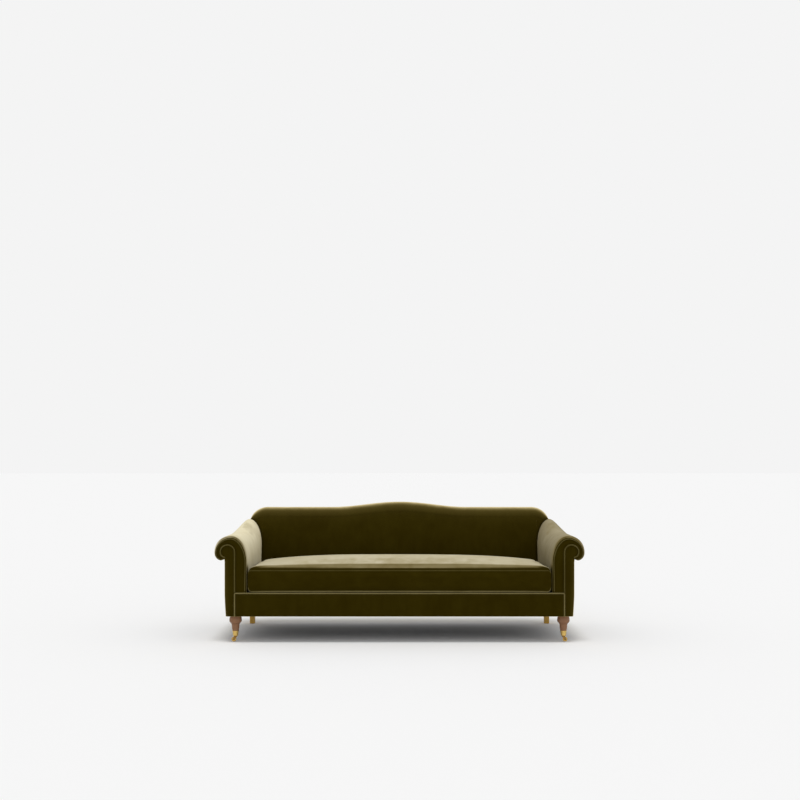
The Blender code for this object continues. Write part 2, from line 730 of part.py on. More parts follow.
def back_frame():
    """Timber behind the pad: camel top rail, posts, lower rail, and the hessian on them."""
    planes = before_rear(TIMBER_END), before_rear(TIMBER_START)
    wall = ARM_INNER_REAR_X - GAP
    inner = wall - BACK_POST_WIDTH
    rail_low = BACK_SIDE_HEIGHT - REAR_LIP - TOP_RAIL_HEIGHT
    stations = [place for place in back_stations() if place[0] <= wall]
    half = [(x, lip_height(x, bottom) - GAP) for x, bottom in reversed(stations)]
    outline = [(-wall, rail_low), (wall, rail_low)] + half + mirrored(reversed(half[:-1]), -1)
    prism("back_top_rail", outline, *planes, frame_timber)
    post_height = (RAIL_TOP + GAP, rail_low - GAP)
    for label, side in SIDES:
        across = sorted((side * inner, side * wall))
        block("back_post_" + label, across, post_height, *planes, frame_timber)
    lower = RAIL_TOP + LOWER_RAIL_LIFT
    post_front = TIMBER_START + CENTRE_POST_THICKNESS
    block("back_lower_rail", (GAP - inner, inner - GAP), (lower, lower + LOWER_RAIL_HEIGHT),
          planes[0], before_rear(post_front + GAP), frame_timber)
    half_post = BACK_POST_WIDTH / 2
    block("back_centre_post", (-half_post, half_post), post_height,
          before_rear(post_front), planes[1], frame_timber)
    hessian_height = (PLATFORM_Z + GAP, BACK_SIDE_HEIGHT - REAR_LIP - HESSIAN_MARGIN)
    block("back_hessian", (-inner, inner), hessian_height,
          before_rear(TIMBER_END + GAP + HESSIAN_THICKNESS), before_rear(TIMBER_END + GAP), lining_cloth)


def cushion_section(half_width, bottom, edge, crown):
    """Rounded outline of the seat cushion with its crowned top."""
    low, high = CUSHION_BOTTOM_RADIUS, CUSHION_TOP_RADIUS
    half = [(0, bottom), (half_width / 2, bottom), (half_width - low, bottom)]
    half += quarter(half[-1], (half_width, bottom + low), 3, upright_first=False)
    half.append((half_width, edge - high))
    for i in range(1, 4):
        angle = math.pi / 2 * i / 3
        half.append((half_width - high + high * math.cos(angle), edge - high + high * math.sin(angle)))
    shoulder = half_width - high
    for share in CUSHION_TOP_SHARES:
        half.append((share * shoulder, edge))
    raised = []
    for x, z in half:
        lift = crown * (1 - min(x / shoulder, 1) ** CROWN_WIDTH_POWER) if z >= edge else 0
        raised.append((x, z + lift))
    return raised + mirrored(reversed(raised[1:-1]), -1)


def seat_cushion():
    """Loose cushion: crowned top, sides drawn in between the corners, piped front panel."""
    bottom = PLATFORM_Z + GAP
    edge = bottom + CUSHION_EDGE_HEIGHT
    half_width = ARM_INNER_REAR_X - CUSHION_CLEARANCE
    front = FRONT_Y + CUSHION_FRONT_SETBACK
    rear = FRONT_Y + SEAT_DEPTH - CUSHION_CLEARANCE
    panel = (half_width - PIPING_DEPTH, bottom + PIPING_DEPTH + CUSHION_PANEL_RAISE, edge - PIPING_DEPTH, 0)
    border = CUSHION_PANEL_BORDER
    crowned = (panel[0] - border, panel[1] + border, panel[2] - border, 0)
    step = front + PIPING_DEPTH
    rings = [(front - CUSHION_PANEL_BULGE, crowned), (front, panel), (step, panel)]
    for i in range(CUSHION_STATIONS):
        turn = math.pi * i / (CUSHION_STATIONS - 1)
        share = (1 - math.cos(turn)) / 2
        width = half_width - CUSHION_DRAW_IN * math.sin(math.pi * share)
        crown = CUSHION_CROWN * math.sqrt(1 - abs(math.cos(turn)) ** CROWN_DEPTH_POWER)
        rings.append((mix(step, rear - border / 2, share), (width, bottom, edge, crown)))
    rings.append((rear, (half_width - border / 2, bottom + border / 2, edge - border / 2, 0)))
    made = [[(x, y, z) for x, z in cushion_section(*shape)] for y, shape in rings]
    loft("seat_cushion", made, velvet)
    inset = PIPING_DEPTH - PIPING_RADIUS
    path = cushion_section(half_width - inset, panel[1] - inset + GAP, edge - inset, 0)
    tube("cushion_piping", [(x, front + PIPING_RADIUS, z) for x, z in path], (0, 1, 0),
         PIPING_RADIUS, PIPING_SIDES, piping_cloth, closed=True)


def front_leg(label, side):
    """Turned leg with a bulb under the rail, a tapered shaft and a foot inside the cup."""
    top = RAIL_BOTTOM - GAP
    cup_top, cup_floor = cup_heights()
    foot = cup_floor + GAP
    hole = BOLT_RADIUS + BOLT_CLEARANCE
    tip_top = CUP_TOP_RADIUS - CUP_WALL - CUP_FIT
    tip_low = CUP_FOOT_RADIUS - CUP_WALL - CUP_FIT
    low = top - BOLT_BITE
    rim = (LEG_TOP_RADIUS, top)
    bulb = (LEG_BULB_RADIUS, top - LEG_BULB_DROP)
    neck = (LEG_NECK_RADIUS, top - LEG_NECK_DROP)
    profile = [(hole, low), (hole, top), rim]
    profile += bezier(rim, rim, (bulb[0], mix(bulb[1], top, 0.5)), bulb, 3)
    profile += quarter(bulb, neck, 4)
    profile += [(LEG_ANKLE_RADIUS, cup_top + GAP), (tip_top, cup_top + GAP), (tip_low, foot)]
    x, y = side * (HALF_WIDTH - LEG_INSET_X), FRONT_Y + LEG_INSET_Y
    loft("front_leg_" + label, spun(profile, LEG_SIDES), leg_timber, (x, y, 0))
    rod("leg_bolt_" + label, BOLT_RADIUS, low + GAP, top + BOLT_REACH, PIN_SIDES, spring_steel,
        (x, y, 0))


def spun(profile, sides):
    """Level rings of a profile of (radius, height)."""
    rings = []
    for r, h in profile:
        rings.append([(r * math.cos(2 * math.pi * i / sides), r * math.sin(2 * math.pi * i / sides), h)
                      for i in range(sides)])
    return rings


def rear_leg(label, side):
    """Plain square leg, a little narrower at the foot."""
    top = RAIL_BOTTOM - GAP
    rings = []
    for size, z in ((REAR_LEG_TOP, top), (REAR_LEG_FOOT, 0)):
        half = size / 2
        rings.append([(-half, -half, z), (half, -half, z), (half, half, z), (-half, half, z)])
    place = (side * (HALF_WIDTH - LEG_INSET_X), rear_y(top) - REAR_LEG_INSET, 0)
    loft("rear_leg_" + label, rings, pale_timber, place, smooth=False)


def fork_heights():
    """Undersides of the fork's plate and of the castor's cup."""
    plate = WHEEL_RADIUS + WHEEL_RADIUS / math.cos(math.pi / WHEEL_SIDES) + FORK_GAP
    return plate, plate + FORK_PLATE + GAP


def cup_heights():
    """Rim of the castor's cup and the floor inside it."""
    base = fork_heights()[1]
    return base + CUP_HEIGHT, base + CUP_BASE


def castor_cup(label, x, y):
    """Brass cup on the foot of the leg, bored for the fork's pin."""
    base = fork_heights()[1]
    rim, floor = cup_heights()
    hole = PINTLE_RADIUS + PINTLE_CLEARANCE
    profile = [(hole, base), (CUP_FOOT_RADIUS - CUP_ROUND, base), (CUP_FOOT_RADIUS, base + CUP_ROUND),
               (CUP_TOP_RADIUS, rim), (CUP_TOP_RADIUS - CUP_WALL, rim), (CUP_FOOT_RADIUS - CUP_WALL, floor),
               (hole, floor)]
    turned("castor_cup_" + label, profile, LEG_SIDES, polished_brass, (x, y, 0))


def castor_fork(label, side, x, y):
    """Fork that swivels on its pin, with a cheek on each side of the wheel."""
    plate, cup = fork_heights()
    inner = WHEEL_WIDTH / 2 + FORK_GAP
    outer = inner + FORK_CHEEK
    foot = WHEEL_RADIUS - FORK_FOOT
    top = plate + FORK_PLATE
    section = [(-outer, foot), (-inner, foot), (-inner, plate), (inner, plate),
               (inner, foot), (outer, foot), (outer, top), (-outer, top)]
    ends = (CASTOR_TRAIL - FORK_LENGTH / 2, CASTOR_TRAIL + FORK_LENGTH / 2)
    rings = [[(side * end, v, z) for v, z in section] for end in ends]
    fork = loft("castor_fork_" + label, rings, polished_brass, (x, y, 0), smooth=False)
    pin_top = cup + CUP_BASE - GAP
    profile = [(COLLAR_RADIUS, plate), (COLLAR_RADIUS, top), (PINTLE_RADIUS, top), (PINTLE_RADIUS, pin_top)]
    pin = loft("castor_pin_" + label, spun(profile, PIN_SIDES), polished_brass, (x, y, 0))
    cut(fork, pin, "UNION")
    reach = outer + FORK_GAP
    hole = rod("castor_bore_" + label, AXLE_RADIUS + AXLE_CLEARANCE, -reach, reach, PIN_SIDES,
               polished_brass, (x + side * CASTOR_TRAIL, y, WHEEL_RADIUS), "Y")
    cut(fork, hole)
    rod("castor_axle_" + label, AXLE_RADIUS, -outer, outer, PIN_SIDES, spring_steel,
        (x + side * CASTOR_TRAIL, y, WHEEL_RADIUS), "Y")


def castor_wheel(label, side, x, y):
    """Brass wheel with eased edges; one of its flats is at the bottom."""
    bore_radius = AXLE_RADIUS + WHEEL_BORE_CLEARANCE
    rim = WHEEL_RADIUS / math.cos(math.pi / WHEEL_SIDES)
    half = WHEEL_WIDTH / 2
    profile = [(bore_radius, -half), (rim - WHEEL_EDGE, -half), (rim, WHEEL_EDGE - half),
               (rim, half - WHEEL_EDGE), (rim - WHEEL_EDGE, half), (bore_radius, half)]
    place = (x + side * CASTOR_TRAIL, y, WHEEL_RADIUS)
    turned("castor_wheel_" + label, profile, WHEEL_SIDES, polished_brass, place, "Y", 0.5)


def legs_and_castors():
    """Front legs on castors and plain rear legs."""
    for label, side in SIDES:
        x, y = side * (HALF_WIDTH - LEG_INSET_X), FRONT_Y + LEG_INSET_Y
        front_leg(label, side)
        rear_leg(label, side)
        castor_cup(label, x, y)
        castor_fork(label, side, x, y)
        castor_wheel(label, side, x, y)


def main():
    """The whole sofa."""
    for old in list(bpy.data.objects):
        bpy.data.objects.remove(old, do_unlink=True)
    base_frame()
    seat_springs()
    seat_platform()
    for label, side in SIDES:
        arm(label, side)
    back_pad()
    back_panel()
    back_frame()
    seat_cushion()
    legs_and_castors()


main()
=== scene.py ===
# Camel-back sofa in olive velvet: the finish of every surface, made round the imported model.
# Metres, +Z up, the floor at z = 0; the sofa faces -Y. Left and right are the viewer's.
import math

import bmesh
import bpy
import numpy as np
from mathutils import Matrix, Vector


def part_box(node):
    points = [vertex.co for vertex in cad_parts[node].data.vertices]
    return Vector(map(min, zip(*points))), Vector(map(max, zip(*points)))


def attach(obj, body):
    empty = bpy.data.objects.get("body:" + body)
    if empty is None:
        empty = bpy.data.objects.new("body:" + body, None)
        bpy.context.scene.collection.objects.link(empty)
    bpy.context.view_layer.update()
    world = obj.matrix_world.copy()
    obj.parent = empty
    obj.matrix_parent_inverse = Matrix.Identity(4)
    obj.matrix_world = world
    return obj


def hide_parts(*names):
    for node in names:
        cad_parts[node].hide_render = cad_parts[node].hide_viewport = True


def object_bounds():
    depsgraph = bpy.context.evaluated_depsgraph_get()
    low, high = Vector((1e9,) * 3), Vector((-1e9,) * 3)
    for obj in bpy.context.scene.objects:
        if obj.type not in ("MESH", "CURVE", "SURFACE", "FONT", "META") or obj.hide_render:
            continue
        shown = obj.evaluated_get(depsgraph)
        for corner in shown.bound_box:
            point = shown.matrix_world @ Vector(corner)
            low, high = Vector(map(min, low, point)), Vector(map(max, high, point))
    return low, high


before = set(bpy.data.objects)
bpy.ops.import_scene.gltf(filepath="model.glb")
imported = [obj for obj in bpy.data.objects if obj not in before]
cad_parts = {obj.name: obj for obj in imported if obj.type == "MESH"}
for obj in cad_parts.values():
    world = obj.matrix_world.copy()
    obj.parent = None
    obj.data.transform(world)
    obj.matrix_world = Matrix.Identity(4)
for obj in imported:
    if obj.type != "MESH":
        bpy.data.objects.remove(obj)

cadBox = [list(corner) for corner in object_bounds()]
sides = (("left", -1), ("right", 1))
print("frame loaded:", len(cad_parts), "nodes")

# The planes that the covers share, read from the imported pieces
sofa = {
    "frontY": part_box("arm_facing_left")[0][1],
    "rearY": cadBox[1][1],           # at the height where the back's roll begins
    "rakeStart": 0.780,
    "rake": 0.11,
    "underside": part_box("front_border")[0][2],
    "platform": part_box("front_border")[1][2],
    "halfWidth": cadBox[1][0],
    "outsideX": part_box("outside_arm_panel_right")[1][0],
    "facingX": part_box("arm_facing_right")[0][0] - 0.0003,
    "gap": 0.0003,
    "piping": 0.0035,
    "pipingPitch": 0.004,
    "panel": 0.0063,                 # thickness of the outside panels with their gap
    "weld": 1e-5,
}
deckLevel = sofa["platform"] + sofa["gap"]


def rearPlane(z):
    # The outside back leans: its y falls by the rake for every metre below the start of the roll.
    return sofa["rearY"] - sofa["rake"] * (sofa["rakeStart"] - z)


def smooth(edge0, edge1, value):
    # Smooth step: 3 u squared less 2 u cubed between two edges.
    u = np.clip((value - edge0) / (edge1 - edge0), 0, 1)
    return u * u * (3 - 2 * u)


def mix(a, b, share):
    # From a towards b by a share of the way.
    return a + (b - a) * share


def eased(u):
    # Half a cosine wave from 0 to 1, which crowds a grid's lines towards both ends.
    return (1 - np.cos(u * math.pi)) / 2


def settled(distance, run):
    # 0 at a seam and nearly 1 far from it: 1 less the exponential of minus distance over run.
    return 1 - np.exp(-distance / run)


def spot(value, middle, width):
    # A bell curve: 1 at the middle, the exponential of minus the square of the distance over the width.
    return np.exp(-((value - middle) / width) ** 2)


def roundedOff(inside, run, depth=None):
    # How far a face stands back near an edge: a quarter ellipse over the run, as deep as it is wide
    # unless a depth is given.
    away = np.clip(1 - inside / run, 0, 1)
    return (run if depth is None else depth) * (1 - np.sqrt(1 - away ** 2))


def line(start, end, steps):
    # Points after the start on a straight line.
    share = np.linspace(0, 1, steps + 1)[1:, None]
    return np.array(start) * (1 - share) + np.array(end) * share


def quarterArc(start, end, steps, uprightFirst=True):
    # Quarter of an ellipse after its start: one coordinate follows the sine, the other 1 less the cosine.
    turn = np.linspace(0, math.pi / 2, steps + 1)[1:]
    fast, slow = np.sin(turn), 1 - np.cos(turn)
    across, up = (slow, fast) if uprightFirst else (fast, slow)
    return np.stack([start[0] + (end[0] - start[0]) * across, start[1] + (end[1] - start[1]) * up], 1)


def cubic(p0, p1, p2, p3, steps):
    # Cubic Bezier curve after its start.
    t = np.linspace(0, 1, steps + 1)[1:, None]
    a, b, c, d = (np.array(p, float) for p in (p0, p1, p2, p3))
    return (1 - t) ** 3 * a + 3 * t * (1 - t) ** 2 * b + 3 * t ** 2 * (1 - t) * c + t ** 3 * d


def catmull(points, steps):
    # Catmull-Rom spline through every point, with the end points doubled.
    p = np.array(points, float)
    p = np.concatenate([p[:1], p, p[-1:]])
    t = np.linspace(0, 1, steps, endpoint=False)[:, None, None]
    a, b, c, d = p[:-3], p[1:-2], p[2:-1], p[3:]
    curve = 0.5 * (2 * b + (c - a) * t + (2 * a - 5 * b + 4 * c - d) * t ** 2
                   + (3 * b - a - 3 * c + d) * t ** 3)
    return np.concatenate([curve.transpose(1, 0, 2).reshape(-1, p.shape[1]), p[-1:]])


def evenly(path, spacing):
    # The same path with its points spaced evenly along its length.
    path = np.asarray(path, float)
    length = np.concatenate([[0], np.cumsum(np.linalg.norm(np.diff(path, axis=0), axis=1))])
    places = np.linspace(0, length[-1], max(int(length[-1] / spacing), 2) + 1)
    return np.stack([np.interp(places, length, path[:, k]) for k in range(path.shape[1])], 1)


def bothSides(half):
    # An outline of (x, z) from the middle outwards, made whole from left to right.
    return np.concatenate([half[:0:-1] * (-1, 1), half])


def grid(x, y, z):
    # Points from three coordinates that broadcast to one grid.
    return np.stack(np.broadcast_arrays(x, y, z), -1)


def faceAndRear(face, rear):
    # Closed loops of a board: along its face and back along its rear.
    return np.concatenate([face, rear[:, ::-1]], 1)


def seamPath(outline, y):
    # A seam: an outline of (x, z) carried to y, with its points spaced evenly.
    return evenly(grid(outline[:, 0], y, outline[:, 1]), sofa["pipingPitch"])


def nearest(x, z, outline):
    # Distance in the upright plane from the closest point of an outline that is mirrored in x.
    return np.min(np.hypot(np.abs(x)[..., None] - outline[:, 0], z[..., None] - outline[:, 1]), -1)


def ripple(x, y, seed, waves=7, low=3.0, high=14.0):
    # Sum of cosines with random directions, phases and wave numbers, between -1 and 1.
    rng = np.random.default_rng(seed)
    total, weight = 0.0, 0.0
    for i in range(waves):
        angle, phase = rng.uniform(0, math.pi), rng.uniform(0, 2 * math.pi)
        number = rng.uniform(low, high)
        size = 1 / number
        total = total + size * np.cos(number * (x * math.cos(angle) + y * math.sin(angle)) + phase)
        weight += size
    return total / weight


def meshObject(name, points, quads, finish, wearAndPaintedLight=None):
    # A mesh from an array of points and an array of quads; points that coincide are welded, and the
    # faces are turned outwards.
    mesh = bpy.data.meshes.new(name)
    mesh.vertices.add(points.size // 3)
    mesh.vertices.foreach_set("co", np.asarray(points, np.float32).ravel())
    mesh.loops.add(quads.size)
    mesh.loops.foreach_set("vertex_index", quads.astype(np.int32).ravel())
    mesh.polygons.add(len(quads))
    mesh.polygons.foreach_set("loop_start", np.arange(0, quads.size, 4, dtype=np.int32))
    mesh.update(calc_edges=True)
    if wearAndPaintedLight is not None:              # paler (above 0) or darker (below): wear, painted light and painted shade
        share = mesh.attributes.new("wearAndPaintedLight", "FLOAT", "POINT")
        share.data.foreach_set("value", wearAndPaintedLight.astype(np.float32).ravel())
    shape = bmesh.new()
    shape.from_mesh(mesh)
    bmesh.ops.remove_doubles(shape, verts=shape.verts, dist=sofa["weld"])
    bmesh.ops.recalc_face_normals(shape, faces=shape.faces)
    shape.to_mesh(mesh)
    shape.free()
    mesh.shade_smooth()
    mesh.materials.append(finish)
    piece = bpy.data.objects.new(name, mesh)
    bpy.context.scene.collection.objects.link(piece)
    return piece


def gridQuads(rows, columns, closeRows=False, closeColumns=False, start=0):
    # Corner numbers of the quads of a grid whose points are numbered row by row.
    index = np.arange(rows * columns).reshape(rows, columns) + start
    if closeColumns:
        index = np.concatenate([index, index[:, :1]], 1)
    if closeRows:
        index = np.concatenate([index, index[:1]], 0)
    return np.stack([index[:-1, :-1], index[1:, :-1], index[1:, 1:], index[:-1, 1:]], -1).reshape(-1, 4)


def loopSkin(name, rings, finish, capEnds=True, wearAndPaintedLight=None):
    # Closed rings joined in order; each end closes on the middle of its ring.
    if capEnds:
        first, last = rings[:1].mean(1, keepdims=True), rings[-1:].mean(1, keepdims=True)
        rings = np.concatenate([np.repeat(first, rings.shape[1], 1), rings,
                                np.repeat(last, rings.shape[1], 1)])
        if wearAndPaintedLight is not None:
            wearAndPaintedLight = np.concatenate([wearAndPaintedLight[:1], wearAndPaintedLight, wearAndPaintedLight[-1:]])
    quads = gridQuads(rings.shape[0], rings.shape[1], closeColumns=True)
    return meshObject(name, rings, quads, finish, wearAndPaintedLight=wearAndPaintedLight)


def tubeRings(path, radius, count, closed=False):
    # Circles round a path, each square to it, with one axis kept along +Y.
    if closed:
        run = np.roll(path, -1, 0) - np.roll(path, 1, 0)
    else:
        run = np.gradient(path, axis=0)
    run /= np.linalg.norm(run, axis=1, keepdims=True)
    up = np.array([0.0, 1.0, 0.0]) - run * run[:, 1:2]
    up /= np.linalg.norm(up, axis=1, keepdims=True)
    across = np.cross(run, up)
    turn = np.linspace(0, 2 * math.pi, count, endpoint=False)[None, :, None]
    return path[:, None] + radius * (np.cos(turn) * across[:, None] + np.sin(turn) * up[:, None])


def tubePiece(name, path, radius, finish, count=14, closed=False, wearAndPaintedLight=None):
    # A round tube along a path: rings of points, closed on themselves or capped.
    rings = tubeRings(path, radius, count, closed)
    if wearAndPaintedLight is not None:
        wearAndPaintedLight = np.repeat(wearAndPaintedLight[:, None], count, 1)
    if not closed:
        return loopSkin(name, rings, finish, wearAndPaintedLight=wearAndPaintedLight)
    quads = gridQuads(len(rings), count, closeRows=True, closeColumns=True)
    return meshObject(name, rings, quads, finish, wearAndPaintedLight=wearAndPaintedLight)


def spun(name, profile, finish, centre, count=48, axis="Z"):
    # A closed profile of (radius, height) turned about an upright axis, or about a level one along Y.
    turn = np.linspace(0, 2 * math.pi, count, endpoint=False)[:, None]
    radius, height = np.asarray(profile, float).T
    across, along = np.cos(turn) * radius, np.sin(turn) * radius
    rings = grid(across, along, height) if axis == "Z" else grid(across, height, along)
    quads = gridQuads(count, len(radius), closeRows=True, closeColumns=True)
    return meshObject(name, rings + np.array(centre), quads, finish)


def twoFaced(half):
    # A profile of (radius, height) from one face to the middle, made whole.
    return np.concatenate([half, half[-2::-1] * (1, -1)])


def boxCentre(node):
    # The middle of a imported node's box.
    return np.mean(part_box(node), 0)


cloth = {"frames": 20, "pressure": 4.0, "quality": 4, "tension": 25.0, "bending": 4.0}


def pointsOf(mesh):
    # A mesh's points as an array of rows.
    places = np.empty(3 * len(mesh.vertices), np.float32)
    mesh.vertices.foreach_get("co", places)
    return places.reshape(-1, 3).astype(float)


def puffed(piece, held, cap, low, high):
    # The cover as cloth filled by pressure, without gravity: its held points stay, no point moves
    # further than the cap or leaves the box, and one level of subdivision rounds the folds.
    scene = bpy.context.scene
    before = pointsOf(piece.data)
    group = piece.vertex_groups.new(name="held")
    group.add(np.flatnonzero(held).tolist(), 1.0, "REPLACE")
    modifier = piece.modifiers.new("cloth", "CLOTH")
    settings = modifier.settings
    settings.quality = cloth["quality"]
    settings.use_pressure = True
    settings.uniform_pressure_force = cloth["pressure"]
    settings.effector_weights.gravity = 0
    settings.tension_stiffness = settings.compression_stiffness = cloth["tension"]
    settings.bending_stiffness = cloth["bending"]
    settings.vertex_group_mass = group.name
    for step in range(1, cloth["frames"] + 1):
        scene.frame_set(step)
    swollen = piece.evaluated_get(bpy.context.evaluated_depsgraph_get()).to_mesh()
    shift = pointsOf(swollen) - before
    reach = np.linalg.norm(shift, axis=1, keepdims=True)
    shift *= np.minimum(cap / np.maximum(reach, 1e-9), 1)
    piece.modifiers.remove(modifier)
    piece.vertex_groups.remove(group)
    scene.frame_set(1)
    piece.data.vertices.foreach_set("co", np.clip(before + shift, low, high).astype(np.float32).ravel())
    print(piece.name, "filled:", len(before), "points,", int(np.sum(held)), "held")
    finer = piece.modifiers.new("finer", "SUBSURF")
    finer.levels = finer.render_levels = 1
    mesh = bpy.data.meshes.new_from_object(piece.evaluated_get(bpy.context.evaluated_depsgraph_get()))
    piece.modifiers.remove(finer)
    piece.data = mesh
    mesh.shade_smooth()


def standFor(piece, body, slot, *nodes, fill=None):
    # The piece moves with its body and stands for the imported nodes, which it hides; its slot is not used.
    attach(piece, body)
    if nodes:
        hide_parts(*nodes)


class Wire:
    # A shader value: the usual operators add the Math nodes.
    def __init__(self, tree, socket):
        self.tree, self.socket = tree, socket

    def math(self, operation, *terms):
        node = self.tree.nodes.new("ShaderNodeMath")
        node.operation = operation
        for slotIn, term in zip(node.inputs, terms):
            if isinstance(term, Wire):
                self.tree.links.new(term.socket, slotIn)
            else:
                slotIn.default_value = term
        return Wire(self.tree, node.outputs[0])

    def __add__(self, other):
        return self.math("ADD", self, other)

    def __radd__(self, other):
        return self.math("ADD", other, self)

    def __sub__(self, other):
        return self.math("SUBTRACT", self, other)

    def __rsub__(self, other):
        return self.math("SUBTRACT", other, self)

    def __mul__(self, other):
        return self.math("MULTIPLY", self, other)

    def __rmul__(self, other):
        return self.math("MULTIPLY", other, self)

    def __truediv__(self, other):
        return self.math("DIVIDE", self, other)

    def __pow__(self, other):
        return self.math("POWER", self, other)

    def atLeast(self, other):
        return self.math("MAXIMUM", self, other)

    def clamp(self):
        return self.math("MINIMUM", self.atLeast(0.0), 1.0)


class Finish:
    # The node tree of a material or a world; node() adds any node that isn't arithmetic.
    def __init__(self, owner):
        owner.use_nodes = True
        self.owner, self.tree = owner, owner.node_tree
        self.tree.nodes.clear()

    def node(self, kind, settings=None, values=None, output=0):
        made = self.tree.nodes.new("ShaderNode" + kind)
        for key, value in (settings or {}).items():
            setattr(made, key, value)
        for key, value in (values or {}).items():
            socket = made.inputs[key]
            if isinstance(value, Wire):
                self.tree.links.new(value.socket, socket)
            elif socket.type == "RGBA":
                socket.default_value = (*value, 1.0)
            else:
                socket.default_value = value
        return Wire(self.tree, made.outputs[output])

    def noise(self, scale, detail=3.0, roughness=0.55, distortion=0.0, stretch=None):
        place = self.place
        if stretch is not None:
            place = self.node("Mapping", values={"Vector": place, "Scale": stretch})
        return self.node("TexNoise", values={"Vector": place, "Scale": scale, "Detail": detail,
                                             "Roughness": roughness, "Distortion": distortion})

    def blend(self, share, first, second):
        # A colour between two, through a Mix node: its factor and its two colours.
        return self.node("Mix", {"data_type": "RGBA", "clamp_factor": True},
                         {0: share, 6: first, 7: second}, output=2)

    def bump(self, height, strength, distance):
        return self.node("Bump", values={"Height": height, "Strength": strength, "Distance": distance})

    def principled(self, **values):
        words = {"baseColor": "Base Color", "roughness": "Roughness", "metallic": "Metallic",
                 "normal": "Normal", "sheen": "Sheen Weight", "sheenRoughness": "Sheen Roughness",
                 "sheenTint": "Sheen Tint", "coat": "Coat Weight", "coatRoughness": "Coat Roughness",
                 "specular": "Specular IOR Level"}
        return self.node("BsdfPrincipled", values={words[key]: value for key, value in values.items()})

    def done(self, surface, kind="Material"):
        output = self.tree.nodes.new("ShaderNodeOutput" + kind)
        self.tree.links.new(surface.socket, output.inputs["Surface"])
        return self.owner


def newFinish(name):
    # An empty material whose patterns lie on Object coordinates.
    f = Finish(bpy.data.materials.new(name))
    f.place = f.node("TexCoord", output="Object")
    return f


def dimmed(colour, share):
    return tuple(share * part for part in colour)


velvetLook = {
    "deep": (0.0245, 0.0165, 0.0002),        # pile seen end on
    "brushedAndLit": (0.0335, 0.0240, 0.0008),     # the same where it was stroked the other way, and where wear and painted light raise it
    "tips": (0.800, 0.735, 0.530),           # pile seen from its side
    "tipsShade": (0.680, 0.605, 0.400),
    "midway": (0.400, 0.300, 0.085),         # between the two
    "onset": 0.25, "span": 0.55, "power": 1.8,      # the pale share over the angle of view
    "wearAndLightShare": 0.15,                           # how much the attribute of wear and painted light adds to that share
    "patch": 5.5, "streak": 26.0, "pile": 1500.0,   # scales of the three noises
    "sheen": 0.04, "sheenRoughness": 0.35, "sheenTint": (0.90, 0.76, 0.30),
}
uprightLook = {**velvetLook, "tips": (0.740, 0.630, 0.360), "tipsShade": (0.620, 0.510, 0.270)}
seatLook = {**velvetLook, "wearAndLightShare": 0.22, "tips": (0.580, 0.525, 0.370), "tipsShade": (0.490, 0.430, 0.275)}
# Lit and shaded copies of the arm velvet: the left arm's paler copy is painted light from the right, the
# right arm's darker copy is painted shade
paintedLitArmLook = {**velvetLook, "wearAndLightShare": 0.80, "tips": (0.850, 0.785, 0.575), "tipsShade": (0.730, 0.655, 0.445)}
paintedShadeArmLook = {**velvetLook, "wearAndLightShare": 0.80, "tips": (0.380, 0.330, 0.215),
              "tipsShade": (0.300, 0.255, 0.150)}
# The piping's velvet is paler face on than the covers': painted highlight for the light a round cord
# catches; the arm piping has darker tips
pipingPaintedHighlightLook = {**velvetLook, "deep": (0.050, 0.039, 0.005), "brushedAndLit": (0.085, 0.068, 0.013),
              "tips": (0.480, 0.410, 0.210), "tipsShade": (0.380, 0.320, 0.150),
              "midway": (0.250, 0.205, 0.090), "onset": -0.55, "span": 1.5, "power": 1.2}
armPipingPaintedHighlightLook = {**pipingPaintedHighlightLook, "deep": (0.030, 0.022, 0.001), "brushedAndLit": (0.048, 0.037, 0.004),
                 "tips": (0.310, 0.260, 0.115), "tipsShade": (0.230, 0.190, 0.075),
                 "midway": (0.090, 0.071, 0.020), "wearAndLightShare": 0.38}


def velvetFinish(name, grain, look):
    # Velvet: dark end on, pale at a glancing angle where the sides of the pile show.
    f = newFinish(name)
    patches = f.noise(look["patch"], 3.0, 0.55, 0.7)
    streaks = f.noise(look["streak"], 2.0, 0.5, 0.4, grain)
    pile = f.noise(look["pile"], 2.0, 0.6)
    nap = ((patches * 0.62 + streaks * 0.38 - 0.36) * 3.2).clamp()
    # The attribute brings wear, painted light and painted shade into the deep colour and the pale share
    wearAndPaintedLight = f.node("Attribute", {"attribute_name": "wearAndPaintedLight"}, output="Fac")
    worn = (nap * 0.75 + wearAndPaintedLight * 0.5 + (pile - 0.5) * 0.35).clamp()
    normal = f.bump(pile * 0.8 + streaks * 0.2, 0.25, 0.0006)
    deep = f.principled(baseColor=f.blend(worn, look["deep"], look["brushedAndLit"]), roughness=0.9 - nap * 0.12,
                        normal=normal, sheen=look["sheen"], sheenRoughness=look["sheenRoughness"],
                        sheenTint=look["sheenTint"], specular=0.02)
    tipTone = ((nap - 0.5) * 0.9 + 0.5 + (pile - 0.5) * 0.5).clamp()
    facing = f.node("LayerWeight", values={"Blend": 0.5}, output="Facing")
    glance = ((facing + (nap - 0.5) * 0.05 - look["onset"]) / look["span"]).clamp()
    share = (glance ** look["power"] + wearAndPaintedLight * look["wearAndLightShare"]).clamp()
    pale = f.blend(tipTone, look["tipsShade"], look["tips"])
    tips = f.principled(baseColor=f.blend(share, look["midway"], pale), roughness=1.0, normal=normal,
                        specular=0.0)
    return f.done(f.node("MixShader", values={0: share, 1: deep, 2: tips}))


